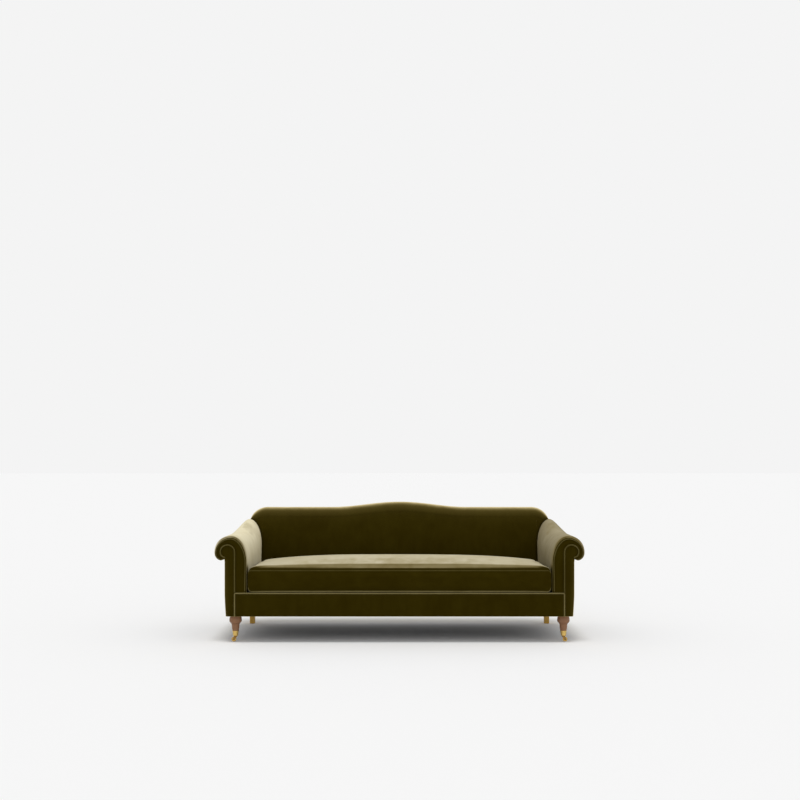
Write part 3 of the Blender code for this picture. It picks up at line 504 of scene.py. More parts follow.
def timberFinish(name, dark, light, grain, gloss, pores=0.5):
    # Timber: long streaks of growth rings along the grain, fine pores, a little polish.
    f = newFinish(name)
    along = f.node("Mapping", values={"Vector": f.place, "Scale": grain})
    bend = f.node("TexNoise", values={"Vector": along, "Scale": 5.0, "Detail": 4.0, "Roughness": 0.6,
                                      "Distortion": 1.2})
    rings = f.node("TexWave", {"wave_type": "BANDS", "bands_direction": "X"},
                   {"Vector": along, "Scale": 9.0, "Distortion": 6.0, "Detail": 3.0, "Detail Scale": 1.6},
                   output="Fac")
    fibre = f.node("TexNoise", values={"Vector": along, "Scale": 60.0, "Detail": 4.0, "Roughness": 0.65})
    tone = (rings * 0.35 + bend * 0.4 + fibre * 0.4 - 0.1).clamp()
    pore = ((fibre - 0.58) * 9.0).clamp()
    colour = f.blend(pore * pores, f.blend(tone, dark, light), dimmed(dark, 0.35))
    normal = f.bump(fibre * 0.7 - pore * 0.6 + rings * 0.2, 0.25, 0.0004)
    return f.done(f.principled(baseColor=colour, roughness=gloss + tone * 0.12 + pore * 0.15,
                               normal=normal, coat=0.12, coatRoughness=0.25, specular=0.3))


def brassFinish(name, bright, dullTone):
    # Lacquered brass: fine turning scratches and dull spots.
    f = newFinish(name)
    spots = f.noise(160.0, 4.0, 0.6, 0.5)
    scratches = f.noise(420.0, 2.0, 0.5, 0.0, (1.0, 1.0, 9.0))
    dull = ((spots - 0.52) * 4.0).clamp()
    return f.done(f.principled(baseColor=f.blend(dull, bright, dullTone), metallic=1.0,
                               roughness=0.16 + dull * 0.22 + scratches * 0.08,
                               normal=f.bump(scratches, 0.12, 0.0002)))


def steelFinish(name, colour):
    # Drawn steel: dull grey with darker spots.
    f = newFinish(name)
    spots = f.noise(220.0, 4.0, 0.6)
    shade = ((spots - 0.45) * 3.0).clamp()
    return f.done(f.principled(baseColor=f.blend(shade, colour, dimmed(colour, 0.55)), metallic=1.0,
                               roughness=0.32 + shade * 0.25, normal=f.bump(spots, 0.1, 0.0003)))


def liningFinish(name, dark, light, thread):
    # Plain woven lining: two crossed sets of threads with slubs.
    f = newFinish(name)
    warp, weft = (f.node("TexWave", {"wave_type": "BANDS", "bands_direction": direction},
                         {"Vector": f.place, "Scale": thread, "Distortion": 1.5, "Detail": 2.0},
                         output="Fac") for direction in ("X", "Y"))
    weave = warp * weft
    slub = f.noise(70.0, 3.0, 0.6)
    tone = (weave * 0.5 + slub * 0.6 - 0.1).clamp()
    return f.done(f.principled(baseColor=f.blend(tone, dark, light), roughness=0.95,
                               normal=f.bump(weave + slub * 0.4, 0.4, 0.0008), specular=0.2))


# The stretch of the stroked streaks follows the way the pile runs on each cover
velvets = {
    "upright": velvetFinish("velvet upright pile", (1.0, 1.0, 0.22), uprightLook),
    "across": velvetFinish("velvet seat pile", (0.55, 0.25, 1.0), seatLook),
    # The two arms get a painted-light copy (left) and a painted-shade copy (right) of one velvet
    "left": velvetFinish("velvet left arm pile, painted light", (1.0, 0.8, 0.25), paintedLitArmLook),
    "right": velvetFinish("velvet right arm pile, painted shade", (1.0, 0.8, 0.25), paintedShadeArmLook),
    "piping": velvetFinish("velvet piping, painted highlight", (1.0, 1.0, 1.0), pipingPaintedHighlightLook),
    "armPiping": velvetFinish("velvet arm piping, painted highlight", (1.0, 1.0, 1.0), armPipingPaintedHighlightLook),
}
legTimber = timberFinish("stained leg timber", (0.165, 0.074, 0.036), (0.320, 0.158, 0.074),
                         (9.0, 9.0, 0.9), 0.42, 0.30)
# The rear legs' golden timber is made paler to make up for the shade under the sofa: partly its own tone,
# partly painted light
rearLegTimberPaintedLight = timberFinish("golden leg timber, painted light", (0.420, 0.210, 0.020), (0.820, 0.520, 0.110),
                             (9.0, 9.0, 0.9), 0.42)
frameTimber = timberFinish("sawn frame timber", (0.300, 0.190, 0.090), (0.560, 0.400, 0.220),
                           (0.8, 8.0, 8.0), 0.65)
brass = brassFinish("lacquered brass", (0.760, 0.530, 0.168), (0.460, 0.265, 0.062))
# Darker copies of the brass for the castor's wheel, horn and neck: painted shade under the cup
brassPaintedShade = brassFinish("brass, painted shade", (0.565, 0.362, 0.106), (0.212, 0.110, 0.026))
brassPaintedDeepShade = brassFinish("brass, painted deep shade", (0.290, 0.159, 0.040), (0.106, 0.049, 0.011))
steel = steelFinish("oiled steel", (0.42, 0.42, 0.43))
# A darker copy of the steel for the castor's pin: painted shade in the wheel's hub
steelPaintedShade = steelFinish("castor pin steel, painted shade", (0.20, 0.17, 0.13))
liningCloth = liningFinish("black lining", (0.010, 0.010, 0.010), (0.045, 0.043, 0.040), 420.0)
hessianCloth = liningFinish("hessian", (0.120, 0.080, 0.040), (0.330, 0.240, 0.140), 260.0)
print("materials made:", len(bpy.data.materials))


arm = {
    "height": 0.6556, "scrollRadius": 0.099, "innerX": 0.952, "rearInnerX": 0.9455,
    "lipWidth": 0.040, "lipDrop": 0.0446, "tipRise": 0.007,
    "keyholeRadius": 0.0444, "bandTop": 0.046, "endDrop": 0.0326, "endInset": 0.0286,
    "rearRise": 0.075, "rearCrestInset": 0.108, "rearArch": 0.185,
    "shoulders": (0.35, 0.02), "roundShoulders": (0.5523, 0.5523),      # handles of the curve's two ends
    "hollowCrestInset": 0.104, "hollowArch": 0.060, "frontArch": 0.160, "swoop": (0.45, 0.83),
    "straightSteps": 30, "archSteps": 24, "shoulderSteps": 24, "lipSteps": 10, "tipSteps": 3,
    "lengthSteps": 84, "lengthPower": 1.15, "lengthShare": 0.984,
    "edge": 0.013, "edgeShare": 0.32,        # how far the front edge is rounded, and the most of the band
    "dome": 0.0035, "fullBand": 0.05,        # how far the front band stands proud between its seams
    "bandSlope": 0.0015,
    "drag": 0.0016,                          # height of the soft drag marks in the stuffing
    "bulge": 0.0075, "bulgeRun": 0.014,      # the stuffing swells behind the front seam
    "dimple": 0.0012, "dimpleAt": (0.47, 0.50), "dimpleSize": (0.045, 0.028),   # along the arm, round it
    # pale wear over the arch, and painted shade behind the front seam and beside the seat
    "wear": 0.75, "seamPaintedShade": 0.9, "seatPaintedShade": 1.3,
    "seamLean": 76, "seamProud": 0.0012, "seamPiping": 0.0027,
    "tuckIn": 0.006, "tuckPoints": 2.5,      # the first points of the facing's piping turn back
}


def armOuter(rear):
    # Half an outline: up the inner side, over the top in two quarters, round the lip to the tip.
    inner = arm["rearInnerX"] if rear else arm["innerX"]
    halfWidth, radius = sofa["halfWidth"], arm["scrollRadius"]
    widest = (halfWidth, arm["height"] - radius)
    if rear:
        crest = (halfWidth - arm["rearCrestInset"], arm["height"] + arm["rearRise"])
        spring = (inner, crest[1] - arm["rearArch"])
    else:
        crest = (halfWidth - radius, arm["height"])
        spring = (inner, crest[1] - arm["frontArch"])
    lip = (halfWidth - arm["lipWidth"], widest[1] - arm["lipDrop"])
    tip = (sofa["outsideX"] + sofa["gap"], lip[1] + arm["tipRise"])
    outShare, upShare = arm["shoulders"] if rear else arm["roundShoulders"]
    run, fall = widest[0] - crest[0], crest[1] - widest[1]
    return np.concatenate([
        [(inner, deckLevel)], line((inner, deckLevel), spring, arm["straightSteps"]),
        quarterArc(spring, crest, arm["archSteps"]),
        cubic(crest, (crest[0] + outShare * run, crest[1]), (widest[0], widest[1] + upShare * fall),
              widest, arm["shoulderSteps"]),
        quarterArc(widest, lip, arm["lipSteps"]),
        line(lip, tip, arm["tipSteps"])])


def armHollow(rear):
    # The keyhole inside the arm, point for point beside armOuter.
    head = (sofa["facingX"] + arm["keyholeRadius"], arm["height"] - arm["bandTop"])
    widest = (sofa["facingX"] + 2 * arm["keyholeRadius"], head[1] - arm["keyholeRadius"])
    end = (widest[0] - arm["endInset"], widest[1] - arm["endDrop"])
    spring = (sofa["facingX"], widest[1])
    if rear:
        head = (sofa["halfWidth"] - arm["hollowCrestInset"], head[1] + arm["rearRise"])
        spring = (sofa["facingX"], head[1] - arm["hollowArch"])
    foot = (sofa["facingX"], deckLevel)
    return np.concatenate([
        [foot], line(foot, spring, arm["straightSteps"]),
        quarterArc(spring, head, arm["archSteps"]),
        quarterArc(head, widest, arm["shoulderSteps"], uprightFirst=False),
        quarterArc(widest, end, arm["lipSteps"] + arm["tipSteps"])])


def armSection(outline, share):
    # The outline at shares of the arm's length: the front one, raised towards the rear one.
    swoop = smooth(*arm["swoop"], share)
    return mix(outline(False)[:, None], outline(True)[:, None], swoop[..., None])


def armBand():
    # The two outlines of the front band, its width at each point and how far its edge is rounded there.
    outer, hollow = armOuter(False), armHollow(False)
    width = np.linalg.norm(hollow - outer, axis=1)[:, None]
    return outer, hollow, width, np.minimum(arm["edge"], arm["edgeShare"] * width)


def armSkinPoints(width, edge):
    # Closed loops across the stuffing, one for each point of the outline: back to front along the
    # cover, round the front edge, over the domed front band, back inside the hollow and over the rear.
    along = 1 - np.linspace(0, 1, arm["lengthSteps"]) ** arm["lengthPower"] * arm["lengthShare"]
    turn = np.linspace(0, math.pi / 2, 10)[1:]
    down, inwards, over = np.linspace(0, 1, 16)[1:], np.linspace(0, 1, 9)[1:], np.linspace(0, 1, 7)[1:-1]
    rounding, blank = edge / width, 0 * edge

    def place(share, across, ahead=0.0):
        # Points at a share of the length and of the way from the cover to the hollow.
        share, across = np.broadcast_arrays(share, across)
        flat = mix(armSection(armOuter, share), armSection(armHollow, share), across[..., None])
        y = mix(sofa["frontY"], rearPlane(flat[..., 1]) - sofa["panel"], share) + ahead
        return grid(flat[..., 0], y, flat[..., 1])

    cover = place(along, blank)
    cover[:, -1, 1] = sofa["frontY"] + edge[:, 0]
    rounded = place(0.0, rounding * (1 - np.cos(turn)), edge * (1 - np.sin(turn)))
    crown = arm["dome"] * np.minimum(width / arm["fullBand"], 1.0) * np.sin(math.pi * down) ** 0.7
    band = place(0.0, mix(rounding, 1.0, down), arm["bandSlope"] * down - crown)
    inside = place(inwards, 1.0 + blank)
    rear = place(1.0, 1 - over + blank)
    return np.concatenate([cover, rounded, band, inside, rear], 1)


def armPad(label, side):
    # The skin with the drag marks of its stuffing, one shallow dimple in the swoop and a swelling
    # behind the front seam; the push is square to the outline.
    width, edge = armBand()[2:]
    points = armSkinPoints(width, edge)
    cover = points[:, :arm["lengthSteps"]]
    outline = np.linspace(0, 1, len(points))[:, None]        # 0 at the seat, 1 under the lip
    length = cover[..., 1] - sofa["frontY"]
    free = smooth(0.0, 0.12, outline) * (1 - smooth(0.90, 1.0, outline)) * smooth(0.01, 0.09, length) \
        * (1 - smooth(0.55, 0.62, length) * (outline < 0.62))
    marks = ripple(length, cover[..., 2] * 0.35, 11 + side, 9, 16.0, 55.0)
    broad = ripple(length, cover[..., 2], 5 + side, 5, 5.0, 14.0)
    dimple = spot(length, arm["dimpleAt"][0], arm["dimpleSize"][0]) \
        * spot(outline, arm["dimpleAt"][1], arm["dimpleSize"][1])
    top = smooth(0.33, 0.60, outline) * (1 - smooth(0.857, 1.0, outline)) * (1 - smooth(0.50, 0.84, length))
    swell = arm["bulge"] * settled(np.maximum(length - edge, 0), arm["bulgeRun"]) * top \
        * (1 + 0.6 * spot(outline, 0.73, 0.09))
    push = (arm["drag"] * (0.55 * marks + 1.1 * broad) - arm["dimple"] * dimple) * free + swell
    run = np.gradient(cover, axis=0)
    normal = grid(-run[..., 2], 0.0, run[..., 0])
    cover += normal / (np.linalg.norm(normal, axis=-1, keepdims=True) + 1e-9) * push[..., None]

    # The pile is rubbed pale by wear over the arch; painted shade darkens it behind the front seam, beside
    # the seat and a little in the dimple
    worn = smooth(0.16, 0.40, length) * spot(outline, 0.53, 0.13) * (0.75 + 0.25 * broad)
    frontSeam = smooth(0.02, 0.12, outline) * (1 - smooth(0.70, 0.86, outline)) * np.exp(-length / 0.030)
    beside = smooth(0.500, 0.440, cover[..., 2]) * (outline < 0.5) * smooth(0.11, 0.04, length)
    wearAndPaintedLight = np.zeros(points.shape[:2])
    wearAndPaintedLight[:, :arm["lengthSteps"]] = (arm["wear"] - 0.2 * dimple) * worn - arm["seamPaintedShade"] * frontSeam \
        - arm["seatPaintedShade"] * beside
    points[..., 0] *= side
    # The left cover wears the painted-light copy of the velvet, the right the painted-shade copy
    piece = loopSkin("arm_cover_" + label, points, velvets[label], wearAndPaintedLight=wearAndPaintedLight)
    standFor(piece, "sofa_frame", "velvet", "arm_pad_" + label, fill=0.9)


def armEdgePiping(label, side):
    # Thin piping in the seam between the arm's cover and its front band, along the rounded edge.
    outer, hollow, width, edge = armBand()
    lean = math.radians(arm["seamLean"])
    flat = outer + (hollow - outer) * edge / width * (1 - math.cos(lean))
    y = sofa["frontY"] + edge[:, 0] * (1 - math.sin(lean)) - arm["seamProud"]
    path = seamPath(flat[2:] * (side, 1), y[2:])
    piece = tubePiece("arm_edge_piping_" + label, path, arm["seamPiping"], velvets["armPiping"], 12)
    standFor(piece, "sofa_frame", "piping")


def facingPiping(label, side):
    # Piping round the keyhole and down to the corner of the border; its first stretch turns back into
    # the crease under the scroll.
    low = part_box("facing_piping_" + label)[0]
    outline = np.concatenate([armHollow(False)[::-1], [(sofa["facingX"], low[2])]])
    path = seamPath(outline * (side, 1), low[1] + sofa["piping"])
    path[:, 1] += arm["tuckIn"] * np.exp(-np.arange(len(path)) / arm["tuckPoints"])
    piece = tubePiece("keyhole_piping_" + label, path, sofa["piping"], velvets["armPiping"])
    standFor(piece, "sofa_frame", "piping", "facing_piping_" + label)


facing = {"thickness": 0.012, "thinnest": 0.0005, "setback": 0.0012, "dome": 0.0045, "domeRun": 0.012,
          "corner": 0.0115, "leastCorner": 0.002, "foldRadius": 0.0035, "tuck": 0.007, "tuckHeight": 0.134,
          "shaftRows": 84, "headRows": 36, "headGap": 0.00005, "columns": 26}


def outsideEdge(z):
    # The outside of the arm: upright, drawn in by the tuck towards the foot.
    drop = np.clip((sofa["underside"] + facing["tuckHeight"] - z) / facing["tuckHeight"], 0, 1)
    return sofa["outsideX"] - facing["tuck"] * drop ** 1.2


def armFacing(label, side):
    # Keyhole panel: level rows from the foot to the head of the keyhole, each a closed loop, domed in
    # front; its outer edge is rounded up to the scroll and tucked behind the piping above it.
    hollow = armHollow(False)
    head = hollow[:, 1].argmax()
    foot, tipZ, endZ, headZ = sofa["underside"], armOuter(False)[-1, 1], hollow[-1, 1], hollow[head, 1]
    bow = np.sin(np.linspace(0, math.pi / 2, facing["headRows"]))
    z = np.concatenate([np.linspace(foot, endZ, facing["shaftRows"])[:-1], mix(endZ, headZ, bow)])
    z[-1] -= facing["headGap"]
    z = z[:, None]
    left = np.interp(z, hollow[:head + 1, 1], hollow[:head + 1, 0]) + sofa["gap"]
    rightHead = np.interp(z, hollow[head:, 1][::-1], hollow[head:, 0][::-1])
    right = mix(outsideEdge(z), rightHead, smooth(tipZ - 0.002, endZ + 0.002, z)) - sofa["gap"] * (z > tipZ)
    x = mix(left, right, eased(np.linspace(0, 1, facing["columns"])))
    inLeft, inRight = x - left, right - x
    corner = facing["corner"] * (1 - smooth(tipZ - 0.02, tipZ + 0.01, z)) + facing["leastCorner"]
    near = np.minimum(np.minimum(inLeft, inRight + 0.012 * (corner > 0.006)), headZ - z + 0.004)
    dome = facing["dome"] * settled(np.maximum(near, 0), facing["domeRun"]) * smooth(-0.004, 0.03, z - foot)
    front = sofa["frontY"] + facing["setback"] + roundedOff(inRight, corner) \
        + roundedOff(z - foot, facing["foldRadius"]) - dome
    rear = sofa["frontY"] + facing["thickness"]
    loop = faceAndRear(grid(x, np.minimum(front, rear - facing["thinnest"]), z), grid(x, rear, z))
    edgeWear = 0.60 * np.exp(-inRight / 0.012) * (1 - smooth(tipZ - 0.01, tipZ + 0.01, z))
    wearAndPaintedLight = np.concatenate([0.20 * np.exp(-inLeft / 0.006) + edgeWear, 0 * x], 1)
    loop[..., 0] *= side
    piece = loopSkin("arm_facing_cover_" + label, loop, velvets["upright"], wearAndPaintedLight=wearAndPaintedLight)
    standFor(piece, "sofa_frame", "velvet", "arm_facing_" + label, fill=0.8)


outside = {"thickness": 0.006, "thinnest": 0.0004, "pillow": 0.0018, "pillowRun": 0.03, "wave": 0.0007,
           "endDraw": 0.0025, "endRun": 0.004, "fold": 0.005, "rows": 60, "columns": 70}


def outsideArm(label, side):
    # Covered board: closed upright loops carried from the facing to the rear; the outer face is
    # pillowed, folded under at the foot and tucked under the lip of the scroll.
    v = eased(np.linspace(0, 1, outside["rows"]))
    z = mix(sofa["underside"], armOuter(False)[-1, 1] - sofa["gap"], v)
    start, end = sofa["frontY"] + facing["thickness"] + sofa["gap"], rearPlane(z) - sofa["panel"]
    y = mix(start, end, eased(np.linspace(0, 1, outside["columns"]))[:, None])
    lengthIn = np.minimum(y - start, end - y)
    full = settled(lengthIn, outside["pillowRun"])
    pillow = outside["pillow"] * full * np.sin(math.pi * v) ** 0.5
    wave = outside["wave"] * full * ripple(y, z, 31 + side, 6, 6.0, 22.0)
    drawn = outside["endDraw"] * np.exp(-lengthIn / outside["endRun"])
    x = outsideEdge(z) + pillow + wave - drawn - roundedOff(z - sofa["underside"], outside["fold"])
    inner = outsideEdge(z) - outside["thickness"]
    loop = faceAndRear(grid(np.maximum(x, inner + outside["thinnest"]), y, z), grid(inner, y, z))
    loop[..., 0] *= side
    piece = loopSkin("outside_arm_cover_" + label, loop, velvets["upright"])
    standFor(piece, "sofa_frame", "velvet", "outside_arm_panel_" + label, fill=0.3)


for label, side in sides:
    armPad(label, side)
    armEdgePiping(label, side)
    facingPiping(label, side)
    armFacing(label, side)
    outsideArm(label, side)
print("arms covered")


border = {"thickness": 0.012, "lip": 0.040, "deckBottom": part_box("seat_deck")[0][2], "setback": 0.0010,
          "topGap": 0.0012, "dome": 0.0030, "domeRun": 0.02, "wave": 0.0007, "corner": 0.007,
          "fold": 0.0035, "columns": 190, "rows": 44, "pipingWave": 0.0004}


def frontBorder():
    # Covered board: upright closed loops carried along the width; the face is domed, the top edge
    # rounded, the top corners rounded off under the piping and the foot folded under.
    front, foot = sofa["frontY"], sofa["underside"]
    halfSpan = sofa["facingX"] - sofa["gap"]
    x = halfSpan * np.sin(np.linspace(-math.pi / 2, math.pi / 2, border["columns"]))[:, None]
    inEnd = halfSpan - np.abs(x)
    top = sofa["platform"] - roundedOff(inEnd, border["corner"]) - border["topGap"]
    v = np.linspace(0, 1, border["rows"])
    z = mix(foot, top, eased(v))
    away = roundedOff(z - foot, border["fold"]) \
        + roundedOff(top - z, border["corner"], 0.8 * border["corner"])
    dome = border["dome"] * settled(inEnd, border["domeRun"]) * np.sin(math.pi * v) ** 0.6
    wave = border["wave"] * ripple(x, z, 41, 7, 8.0, 30.0) * np.sin(math.pi * v)
    # Behind the face the loop runs over the lip on the rail, down to the deck and down the board's rear
    deck = np.minimum(border["deckBottom"], top - 0.001)
    lip, board = front + border["lip"], front + border["thickness"]
    behind = [(front + border["lip"] * 0.5, top + 0.0010), (lip, top), (lip, deck), (board, deck),
              (board, foot)]
    y = np.concatenate([front + border["setback"] + away - dome + wave]
                       + [np.full_like(top, backY) for backY, backZ in behind], 1)
    z = np.concatenate([z] + [backZ + 0 * top for backY, backZ in behind], 1)
    wearAndPaintedLight = 0.3 * np.exp(-np.minimum(top - z, inEnd) / 0.008) * (y < board)
    piece = loopSkin("front_border_cover", grid(x, y, z), velvets["upright"], wearAndPaintedLight=wearAndPaintedLight)
    standFor(piece, "sofa_frame", "velvet", "front_border", fill=0.5)


def borderPiping():
    # Piping up one end of the border, round its corner, along its top and down the other end.
    x, foot, top, corner = sofa["facingX"], sofa["underside"], sofa["platform"], border["corner"]
    half = np.concatenate([[(x, foot)], line((x, foot), (x, top - corner), 30),
                           quarterArc((x, top - corner), (x - corner, top), 10)])
    outline = np.concatenate([half * (-1, 1), half[::-1]])
    path = seamPath(outline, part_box("border_piping")[0][1] + sofa["piping"])
    path[:, 2] += border["pipingWave"] * ripple(path[:, 0], path[:, 2], 43, 6, 9.0, 40.0) \
        * smooth(top - 0.02, top - 0.001, path[:, 2])
    piece = tubePiece("border_piping_cord", path, sofa["piping"], velvets["piping"])
    standFor(piece, "sofa_frame", "piping", "border_piping")


back = {"sideHeight": 0.814, "hump": 0.036, "humpHalfSpan": 0.480, "seatDepth": 0.635,
        "leanStart": 0.440, "lean": 0.30, "crown": 0.012, "roll": 0.070, "rearLip": 0.100,
        "shoulderSpan": 0.118, "shoulderDrop": 0.100, "overhang": 0.0925, "shoulderPull": 0.030,
        "step": 0.0364, "tuck": 0.012, "tuckWidth": 0.020, "drag": 0.0016, "rollWave": 0.0012,
        "lipEdge": 0.0045, "lipEdgeRun": 0.006, "paintedLightDepth": 0.015, "paintedLightRun": 0.034,
        "innerStations": 72, "faceSteps": 52, "rollSteps": 28, "rearSteps": 11,
        "cap": 0.005, "rollHeld": 0.036, "armHeld": 0.030, "rearHeld": 0.020}


def shoulderRound(x):
    # 0 along the back and 1 at its ends, a quarter circle over the shoulder's span.
    return roundedOff(arm["rearInnerX"] + back["overhang"] - np.abs(x), back["shoulderSpan"], 1.0)


def backTop(x):
    # Level sides, a hump that follows the square of a cosine, and quarter rounds at the shoulders.
    hump = np.where(np.abs(x) < back["humpHalfSpan"],
                    np.cos(math.pi * x / (2 * back["humpHalfSpan"])) ** 2, 0)
    return back["sideHeight"] + back["hump"] * hump - back["shoulderDrop"] * shoulderRound(x)


def backStations():
    # Places along half the back, with the height of the pad's underside at each: the deck between
    # the arms, then the arms' raised tops.
    wall = arm["rearInnerX"] - sofa["gap"]
    arch = armOuter(True)[arm["straightSteps"]:arm["straightSteps"] + arm["archSteps"] + 12]
    arch = catmull(arch, 2) + (-sofa["gap"], sofa["gap"])
    end = arm["rearInnerX"] + back["overhang"]
    arch = arch[(arch[:, 0] < end) & (backTop(arch[:, 0]) - arch[:, 1] > 0.0015)]
    arch[0, 0] += sofa["gap"] / 2
    across = wall * np.sin(np.linspace(0, math.pi / 2, back["innerStations"]))
    return np.concatenate([np.stack([across, np.full(len(across), deckLevel)], 1), arch])


def backLip(x, bottom):
    # Height of the pad's lower edge behind.
    return np.maximum(backTop(x) - back["rearLip"], bottom + sofa["gap"])


def backFace(z):
    # The plane of the leaning front face.
    return sofa["frontY"] + back["seatDepth"] + back["lean"] * np.maximum(z - back["leanStart"], 0)


def backPad():
    # Closed loops at the places along the width: up the leaning front face with its slight hollow
    # crown, round the roll in half an ellipse, down to the rear lip, and down the step to the frame.
    x, bottom = bothSides(backStations()).T[..., None]
    top = backTop(x)
    roll = np.minimum(back["roll"], 0.8 * (top - bottom))
    shoulder = top - roll
    pull = back["shoulderPull"] * shoulderRound(x)

    def front(z):
        full = back["sideHeight"] - back["roll"] - back["leanStart"]
        rise = np.clip((z - back["leanStart"]) / full, 0, 1)
        return backFace(z) - back["crown"] * np.sin(math.pi * rise) + pull

    zFront = mix(bottom, shoulder, np.linspace(0, 1, back["faceSteps"]))
    around = np.linspace(0, 1, back["rollSteps"])[1:]
    turn = math.pi * (1 - around)
    first, last = front(shoulder), rearPlane(shoulder) - pull
    yRoll = (first + last) / 2 + (last - first) / 2 * np.cos(turn)
    lip = backLip(x, bottom)
    down = np.linspace(0, 1, back["rearSteps"])[1:]
    zRear = mix(shoulder, lip, down)
    yRear = rearPlane(zRear) - pull * (1 - down) \
        - roundedOff(zRear - lip, back["lipEdgeRun"], back["lipEdge"])
    y = np.concatenate([front(zFront), yRoll, yRear, rearPlane(lip) - back["step"],
                        rearPlane(bottom) - back["step"]], 1)
    z = np.concatenate([zFront, shoulder + roll * np.sin(turn), zRear, lip, bottom], 1)

    def share(onFace, onRoll):
        # One share for the points of the front face, others round the roll and none behind.
        return np.concatenate([np.full(back["faceSteps"], onFace), onRoll, np.zeros(len(down) + 2)])

    # The front face tucks in where it meets the arms and the deck
    arch = evenly(armOuter(True)[:arm["straightSteps"] + arm["archSteps"] + 14], 0.002)
    gapTo = nearest(x, z, arch)
    tuck = back["tuck"] * np.exp(-(gapTo / back["tuckWidth"]) ** 1.3 * 2.2) \
        * share(1.0, smooth(1.0, 0.2, around))
    # Broad drag marks from the stuffing, and upright pulls from the hump
    free = smooth(0.0, 0.10, gapTo) * share(1.0, 1 - smooth(0.5, 1.0, around))
    marks = ripple(x, z * 0.6, 61, 7, 4.0, 18.0) + 0.5 * ripple(x, z * 0.2, 62, 6, 18.0, 45.0)
    y = y + tuck + back["drag"] * marks * free
    z = z + back["rollWave"] * ripple(x, y, 63, 7, 6.0, 26.0) * share(0.0, np.sin(turn))
    loop = grid(x, y, z)
    # Painted light: a paler band of pile along the top of the back, fading down the front face
    wearAndPaintedLight = 0.85 * np.exp(-np.maximum(top - z - back["paintedLightDepth"], 0) / back["paintedLightRun"])
    piece = loopSkin("back_cover", loop, velvets["upright"], wearAndPaintedLight=wearAndPaintedLight)

    # Only the front face is filled, and that away from the arms, the deck and the roll
    px, py, pz = pointsOf(piece.data).T
    held = (py > backFace(pz) + back["rearHeld"]) | (nearest(px, pz, arch[::6]) < back["armHeld"]) \
        | (pz > backTop(px) - back["rollHeld"])
    puffed(piece, held, back["cap"], loop.min((0, 1)) - (0, back["cap"], 0), loop.max((0, 1)))
    standFor(piece, "sofa_frame", "velvet", "back_pad", fill=0.85)


backPanel = {"thickness": 0.006, "thinnest": 0.0006, "pillow": 0.0022, "pillowRun": 0.04, "wave": 0.0010,
             "waveRun": 0.05, "seam": 0.0035, "seamWidth": 0.006, "fold": 0.005, "rows": 60}


def outsideBack():
    # Covered board over the whole back: upright closed loops, each between the foot and the outline
    # of the pad's lip and the arms' raised ends; pillowed, with its edges drawn into the seams.
    wide = armOuter(True)
    crest = arm["straightSteps"] + arm["archSteps"]
    shoulder, lip = wide[crest:crest + arm["shoulderSteps"] + 1], wide[crest + arm["shoulderSteps"]:][::-1]
    x, bottom = backStations().T
    seamTop = np.stack([x, backLip(x, bottom) - sofa["gap"]], 1)
    upper = np.concatenate([seamTop, shoulder[shoulder[:, 0] > seamTop[-1, 0] + 0.001]])
    # The foot's outline runs level, up the tuck, jumps up the outside and follows the lip outwards
    x, top = upper.T
    edge, bend = sofa["outsideX"], sofa["underside"] + facing["tuckHeight"]
    tucked = np.clip((x - edge + facing["tuck"]) / facing["tuck"], 0, 1)
    low = np.where(x > edge, np.interp(x, lip[:, 0], lip[:, 1]),
                   sofa["underside"] + facing["tuckHeight"] * tucked)
    at = np.searchsorted(x, edge)
    top = np.insert(top, at, [np.interp(edge, x, top)] * 2)
    low = np.insert(low, at, [bend, lip[0, 1]])
    x = np.insert(x, at, [edge - 0.0001, edge])
    top = bothSides(np.stack([x, top], 1))[:, 1:]
    x, low = bothSides(np.stack([x, low], 1)).T[..., None]
    z = mix(low, top, eased(np.linspace(0, 1, backPanel["rows"])))
    near = nearest(x, z, evenly(np.concatenate([upper, lip[::-1]]), 0.003))
    edgeIn = np.minimum(near, np.where(z < lip[0, 1], np.maximum(outsideEdge(z) - np.abs(x), 0), 1.0))
    pillow = backPanel["pillow"] * settled(edgeIn, backPanel["pillowRun"])
    wave = backPanel["wave"] * ripple(x, z, 71, 8, 5.0, 20.0) * settled(edgeIn, backPanel["waveRun"])
    seam = backPanel["seam"] * np.exp(-(edgeIn / backPanel["seamWidth"]) ** 1.2)
    y = rearPlane(z) + pillow + wave - seam - roundedOff(z - sofa["underside"], backPanel["fold"])
    inner = rearPlane(z) - backPanel["thickness"]
    loop = faceAndRear(grid(x, np.maximum(y, inner + backPanel["thinnest"]), z), grid(x, inner, z))
    piece = loopSkin("outside_back_cover", loop, velvets["upright"])
    standFor(piece, "sofa_frame", "velvet", "outside_back_panel", fill=0.3)


cushion = {"clearance": 0.001, "setback": 0.002, "edgeHeight": 0.138, "crown": 0.040, "crest": 0.62,
           "crownPower": 3.2, "lip": 0.022, "lipRun": 0.012, "drawIn": 0.004, "rollAt": 0.042,
           "rollWidth": 0.024, "footLift": 0.010, "footRun": 0.014, "topCorner": 0.018,
           "bottomCorner": 0.024, "panelDome": 0.0045, "panelSetback": 0.0015, "panelWave": 0.0008,
           "rearCorner": 0.030, "rearShare": 0.55, "drag": 0.0018, "cap": 0.007, "panelCap": 0.004,
           # how dark the painted shade on the lip above the piping is, and how far back it reaches
           "lipPaintedShade": 3.6, "lipPaintedShadeRun": 0.021, "pipingWave": 0.0006,
           "stations": 66, "depthSteps": 60, "panelSteps": 22}


